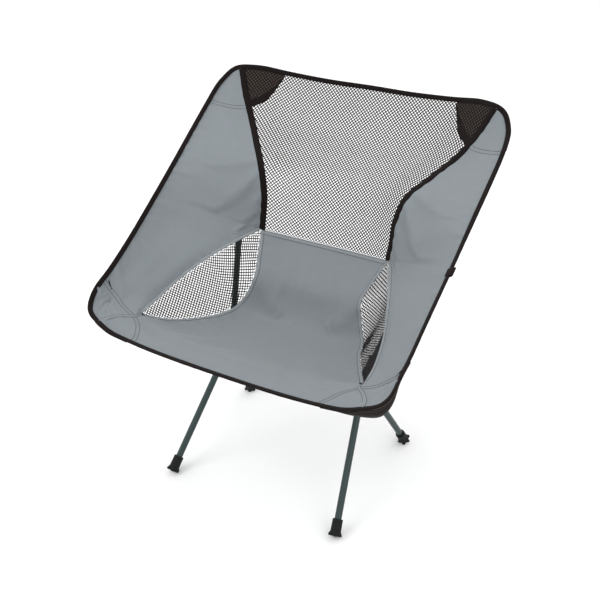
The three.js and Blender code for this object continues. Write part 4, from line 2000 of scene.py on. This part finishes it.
@dataclass
class FrameWork:
    """What every part of the frame is made with."""

    sides: Dict[Side, FrameSide]
    sizes: FrameSizes
    finishes: Finishes

    def legs(self, side: Side) -> List[Tuple[str, Axis]]:
        """One side's legs, such as front_right, with their axes."""
        frame = self.sides[side]
        return [(f"front_{side.word}", frame.front_leg), (f"rear_{side.word}", frame.rear_leg)]

    def sole_at(self, axis: Axis) -> float:
        """How far along a leg's axis the foot's sole is."""
        slope = math.acos(-axis.direction[2])
        rise = (self.sizes.foot_rim + self.sizes.foot_lobe) * math.sin(slope) - self.sizes.foot_wear
        return axis.length - rise / math.cos(slope)


@dataclass
class Poles(FrameWork):
    """The tubes: legs, seat poles, back poles and crossbar, with the moulded tips of the poles."""

    def tube(self, name: str, points: Array, node: str, body: str = SLING_BODY) -> None:
        """Builds one tube along a line of points."""
        inner = self.sizes.tube_radius - self.sizes.tube_wall
        mesh = sweep(tube_rings(points, self.sizes.tube_radius, inner), closed=True)
        finished(name, mesh, self.finishes.tube, [node], body)

    def straight(self, axis: Axis, start: float, end: float) -> Array:
        """Points from start to end along an axis."""
        return np.array([axis.at(d) for d in np.linspace(start, end, 9)])

    def build(self) -> None:
        """Builds every tube and tip."""
        sizes = self.sizes
        start = sizes.socket_floor + sizes.gap
        for side, frame in self.sides.items():
            word, seat, lower = side.word, frame.seat_pole, frame.lower_pole
            for leg, axis in self.legs(side):
                end = self.sole_at(axis) - sizes.foot_sole - sizes.gap
                self.tube(f"leg_tube_{leg}", self.straight(axis, start, end), f"leg_{leg}", f"leg_body_{leg}")
            seat_line = self.straight(seat, start, seat.length - sizes.tip_floor - sizes.gap)
            self.tube(f"seat_tube_{word}", seat_line, f"seat_pole_{word}")
            lower_line = self.straight(lower, start, lower.length - sizes.gap)
            self.tube(f"lower_back_tube_{word}", lower_line, f"back_pole_lower_{word}")
            self.tube(f"upper_back_tube_{word}", self.bent(frame), f"back_pole_upper_{word}")
            self.tip(f"front_{word}", frame.front_tip, seat.direction)
            self.tip(f"rear_{word}", frame.rear_tip, frame.upper_pole.direction)
        reach = sizes.hub[0] - start
        bar = Axis.between(*(point((x, *sizes.hub[1:])) for x in (-reach, reach)))
        self.tube("crossbar_tube", self.straight(bar, 0.0, bar.length), "crossbar")

    def bent(self, frame: FrameSide) -> Array:
        """The upper back pole's line: straight, a soft bend, and straight to the tip.

        Args:
            frame: the side of the frame.

        Returns:
            The points.
        """
        sizes = self.sizes
        elbow = frame.lower_pole.at(frame.lower_pole.length)
        leave = frame.lower_pole.at(frame.lower_pole.length + sizes.elbow_straight)
        meet = frame.upper_pole.at(sizes.elbow_bend / 2)
        end = frame.upper_pole.at(frame.upper_pole.length - sizes.tip_floor - sizes.gap)
        t = np.linspace(0, 1, 15)[:, None]
        curved = leave * (1 - t) ** 2 + frame.bend * 2 * t * (1 - t) + meet * t**2
        first = np.linspace(elbow, leave, 4)[:-1]
        rest = np.linspace(meet, end, 7)[1:]
        return np.vstack([first, curved, rest])

    def tip(self, word: str, centre: Array, direction: Array) -> None:
        """Builds one moulded ball tip, ribbed along its neck.

        Args:
            word: the corner, such as front_left.
            centre: the ball's centre.
            direction: the pole's direction.
        """
        sizes = self.sizes
        r, neck, bore = sizes.tip_radius, sizes.tip_length, sizes.tube_radius + sizes.gap
        profile = [(-neck + 0.6, bore), (-neck, bore + 0.3), (-neck, r - 0.3), (-neck + 0.6, r)]
        for k in range(1, sizes.tip_ribs + 1):
            at = -neck + sizes.tip_rib_step * k
            profile += [(at - 0.5, r), (at - 0.15, r - 0.35), (at + 0.15, r - 0.35), (at + 0.5, r)]
        profile += [(r * math.sin(a), r * math.cos(a)) for a in np.linspace(0, math.pi / 2 - 0.12, 9)]
        profile += [(r, 0.02), (-sizes.tip_floor, 0.02), (-sizes.tip_floor, bore)]
        rings = turned_profile(centre, direction, profile, 36)
        finished(f"ball_tip_{word}", sweep(rings, closed=True), self.finishes.nylon, [f"pole_tip_{word}"])


@dataclass
class Feet(FrameWork):
    """The rubber feet, with a lobed rim worn flat on the ground."""

    def build(self) -> None:
        """Builds the four feet."""
        for side in self.sides:
            for word, axis in self.legs(side):
                self.foot(word, axis)

    def foot(self, word: str, axis: Axis) -> None:
        """Builds one foot, from the middle of its sole up to its collar and down its bore.

        Args:
            word: the leg, such as front_left.
            axis: the leg's axis.
        """
        sizes = self.sizes
        rim, lobe, top = sizes.foot_rim, sizes.foot_lobe, sizes.foot_length
        bore = sizes.tube_radius + sizes.gap
        profile = [
            (1.2, 0.05, 0.0), (1.2, 6.2, 0.0), (0.9, 6.8, 0.0), (0.0, 7.4, 0.2), (0.0, rim - 0.6, lobe * 0.9),
            (0.35, rim - 0.1, lobe), (1.2, rim, lobe), (2.6, rim - 0.35, lobe * 0.85),
            (4.2, rim - 0.9, lobe * 0.6), (6.0, rim - 1.5, lobe * 0.35), (8.2, rim - 1.9, lobe * 0.15),
            (11.0, 9.1, 0.0), (14.0, 9.0, 0.0), (24.0, 8.9, 0.0), (26.2, 9.0, 0.0), (27.2, 8.9, 0.0),
            (top - 0.2, 8.3, 0.0), (top, 7.1, 0.0), (top - 0.4, bore, 0.0),
            (sizes.foot_sole, bore, 0.0), (sizes.foot_sole, 0.05, 0.0),
        ]
        rings = turned_profile(
            axis.at(self.sole_at(axis)), -axis.direction, [p[:2] for p in profile], 72, sizes.foot_lobes,
            [p[2] for p in profile],
        )
        rings[..., 2] = np.maximum(rings[..., 2], 0.0)
        mesh = sweep(rings, closed=True)
        finished(f"rubber_foot_{word}", mesh, self.finishes.rubber, [f"foot_{word}"], f"leg_body_{word}")


@dataclass
class Hubs(FrameWork):
    """The two moulded hubs that hold the tubes."""

    voxel: float = 0.9
    ribs: int = 8
    rib_height: float = 0.55
    collar: float = 8.0

    def build(self) -> None:
        """Builds both hubs."""
        for side, frame in self.sides.items():
            body = self.body(frame)
            for axis in frame.sockets():
                rings = turned_profile(frame.hub, axis.direction, self.collar_profile(), 48)
                body = joined(body, sweep(rings, closed=True))
            finished(f"moulded_hub_{side.word}", body, self.finishes.nylon, [f"hub_{side.word}"])

    def collar_profile(self) -> List[Pair]:
        """The open end of a socket, from its root out over its lip and down its bore."""
        sizes = self.sizes
        outer, bore = sizes.socket_radius, sizes.tube_radius + sizes.gap
        low, lip = sizes.socket_mouth - self.collar, sizes.socket_mouth
        return [
            (low - 4, bore), (low - 4, outer - 0.8), (low, outer), (lip - 5.2, outer),
            (lip - 4.7, outer + 1.0), (lip - 4.2, outer + 1.2), (lip - 0.8, outer + 1.2),
            (lip - 0.2, outer + 0.9), (lip, outer + 0.3),
            (lip, bore + 0.7), (lip - 0.3, bore + 0.2), (lip - 0.9, bore),
        ]

    def body(self, frame: FrameSide) -> Mesh:
        """The hub's core and ribbed sockets as one moulded skin.

        Args:
            frame: the side of the frame.

        Returns:
            The mesh.
        """
        sizes = self.sizes
        mesh = None
        low = sizes.socket_mouth - self.collar + 1.0
        for axis in frame.sockets():
            profile = [
                (0.0, 0.05), (0.0, sizes.socket_radius + 0.5), (20.0, sizes.socket_radius),
                (low, sizes.socket_radius - 0.3), (low, 0.05),
            ]
            depth = [0.0, self.rib_height, self.rib_height, self.rib_height, 0.0]
            rings = turned_profile(frame.hub, axis.direction, profile, 64, self.ribs, depth)
            mesh = joined(mesh, sweep(rings))
        core = sizes.core_radius
        half_turn = np.linspace(math.pi, 0, 25)
        ball = [(core * math.cos(a), max(core * math.sin(a), 0.05)) for a in half_turn]
        for other in (frame.cross.direction, frame.lower_pole.direction):
            mesh = joined(mesh, sweep(turned_profile(frame.hub, other, ball, 48)))
        holder = linked("hub_body", mesh)
        remesh = holder.modifiers.new("moulding", "REMESH")
        remesh.mode = "VOXEL"
        remesh.voxel_size = self.voxel * MM
        soft = holder.modifiers.new("fillets", "SMOOTH")
        soft.factor = 0.6
        soft.iterations = 5
        body = plain_mesh(holder)
        body.polygons.foreach_set("use_smooth", [True] * len(body.polygons))
        body.uv_layers.new(name=UV_MAP)
        return body


def joined(first: Optional[Mesh], second: Mesh) -> Mesh:
    """Two meshes as one.

    Args:
        first: a mesh, or nothing yet.
        second: another mesh.

    Returns:
        The joined mesh.
    """
    if first is None:
        return second
    work = bmesh.new()
    work.from_mesh(first)
    work.from_mesh(second)
    work.to_mesh(first)
    work.free()
    return first


@dataclass
class Cords:
    """The elastic cords and the inner sleeves, which keep the frame's own shapes."""

    finishes: Finishes

    def build(self, nodes: Dict[str, Piece]) -> None:
        """Gives them their finish.

        Args:
            nodes: the frame's nodes.
        """
        for name, node in nodes.items():
            if "cord" in name or name.startswith("ferrule"):
                look = self.finishes.elastic if "cord" in name else self.finishes.tube
                for slot in node.material_slots:
                    slot.material = look.material
                LOG.info("%s finished", name)


# ---- studio
@dataclass(frozen=True)
class Studio:
    """Camera, pale floor and soft lights."""

    azimuth: float = 28.1
    elevation: float = 30.6
    roll: float = 0.7
    distance: float = 1.398
    target: Triple = (0.0, -0.028, 0.335)
    lens: float = 49.2
    shift: Pair = (0.0143, 0.0082)
    sensor_width: float = 36.0
    floor_half: float = 30.0
    lamps: Tuple[Tuple[str, Triple, float, float], ...] = (
        ("key", (-1.5, -1.9, 2.6), 1.8, 34.0),
        ("fill", (2.3, -1.6, 1.9), 2.2, 16.0),
        ("top", (0.2, 0.9, 3.0), 2.4, 20.0),
    )

    def camera(self) -> None:
        """Makes the camera."""
        a, e = math.radians(self.azimuth), math.radians(self.elevation)
        back = np.array([math.sin(a) * math.cos(e), -math.cos(a) * math.cos(e), math.sin(e)])
        right = np.array([math.cos(a), math.sin(a), 0.0])
        up = np.cross(back, right)
        turn = math.radians(self.roll)
        across_view = right * math.cos(turn) + up * math.sin(turn)
        up = np.cross(back, across_view)
        data = bpy.data.cameras.new("camera")
        data.lens = self.lens
        data.sensor_width = self.sensor_width
        data.shift_x, data.shift_y = self.shift
        camera = linked("camera", data)
        place = np.array(self.target) + back * self.distance
        rows = zip(np.stack([across_view, up, back], axis=1), place)
        camera.matrix_world = Matrix([[*row, at] for row, at in rows] + [[0, 0, 0, 1]])
        bpy.context.scene.camera = camera

    def floor(self) -> None:
        """Makes the pale floor."""
        half = self.floor_half
        corners = [(-half, -half, 0), (half, -half, 0), (half, half, 0), (-half, half, 0)]
        mesh = bpy.data.meshes.new("floor")
        mesh.from_pydata(corners, [], [(0, 1, 2, 3)])
        mesh.materials.append(Finish("pale_floor", None, (250, 250, 250), 0.9).build().material)
        linked("floor", mesh)

    def lights(self) -> None:
        """Makes the soft lights and the white surroundings."""
        for name, place, size, power in self.lamps:
            data = bpy.data.lights.new(name, "AREA")
            data.size = size
            data.energy = power
            light = linked(name, data)
            light.location = place
            aim = Vector(self.target) - Vector(place)
            light.rotation_euler = aim.to_track_quat("-Z", "Y").to_euler()
        world = bpy.data.worlds.new("white_room")
        world.use_nodes = True
        background = world.node_tree.nodes["Background"].inputs
        background["Color"].default_value = (1, 1, 1, 1)
        background["Strength"].default_value = 1.0
        bpy.context.scene.world = world
        bpy.context.scene.view_settings.view_transform = "Standard"


# ---- the chair
def main() -> None:
    """Builds the chair in the frame."""
    logging.basicConfig(level=logging.INFO, format="%(name)s: %(message)s")
    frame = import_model()
    studio = Studio()
    studio.camera()
    studio.floor()
    studio.lights()
    finishes = Finishes()
    sling = Sling()
    sewing = SewnRow()
    sizes = FrameSizes()
    sides = {side: FrameSide(side, sizes, sling.outline) for side in Side}
    for part in (Poles, Feet, Hubs):
        part(sides, sizes, finishes).build()
    Cords(finishes).build(frame["nodes"])
    finder = sling.finder()
    for part in (Cloths, Nets, EdgeBinding, SeamTapes, CornerPockets, PanelStitches):
        part(sling, finishes, sewing, finder).build()


if __name__ == "__main__":
    main()
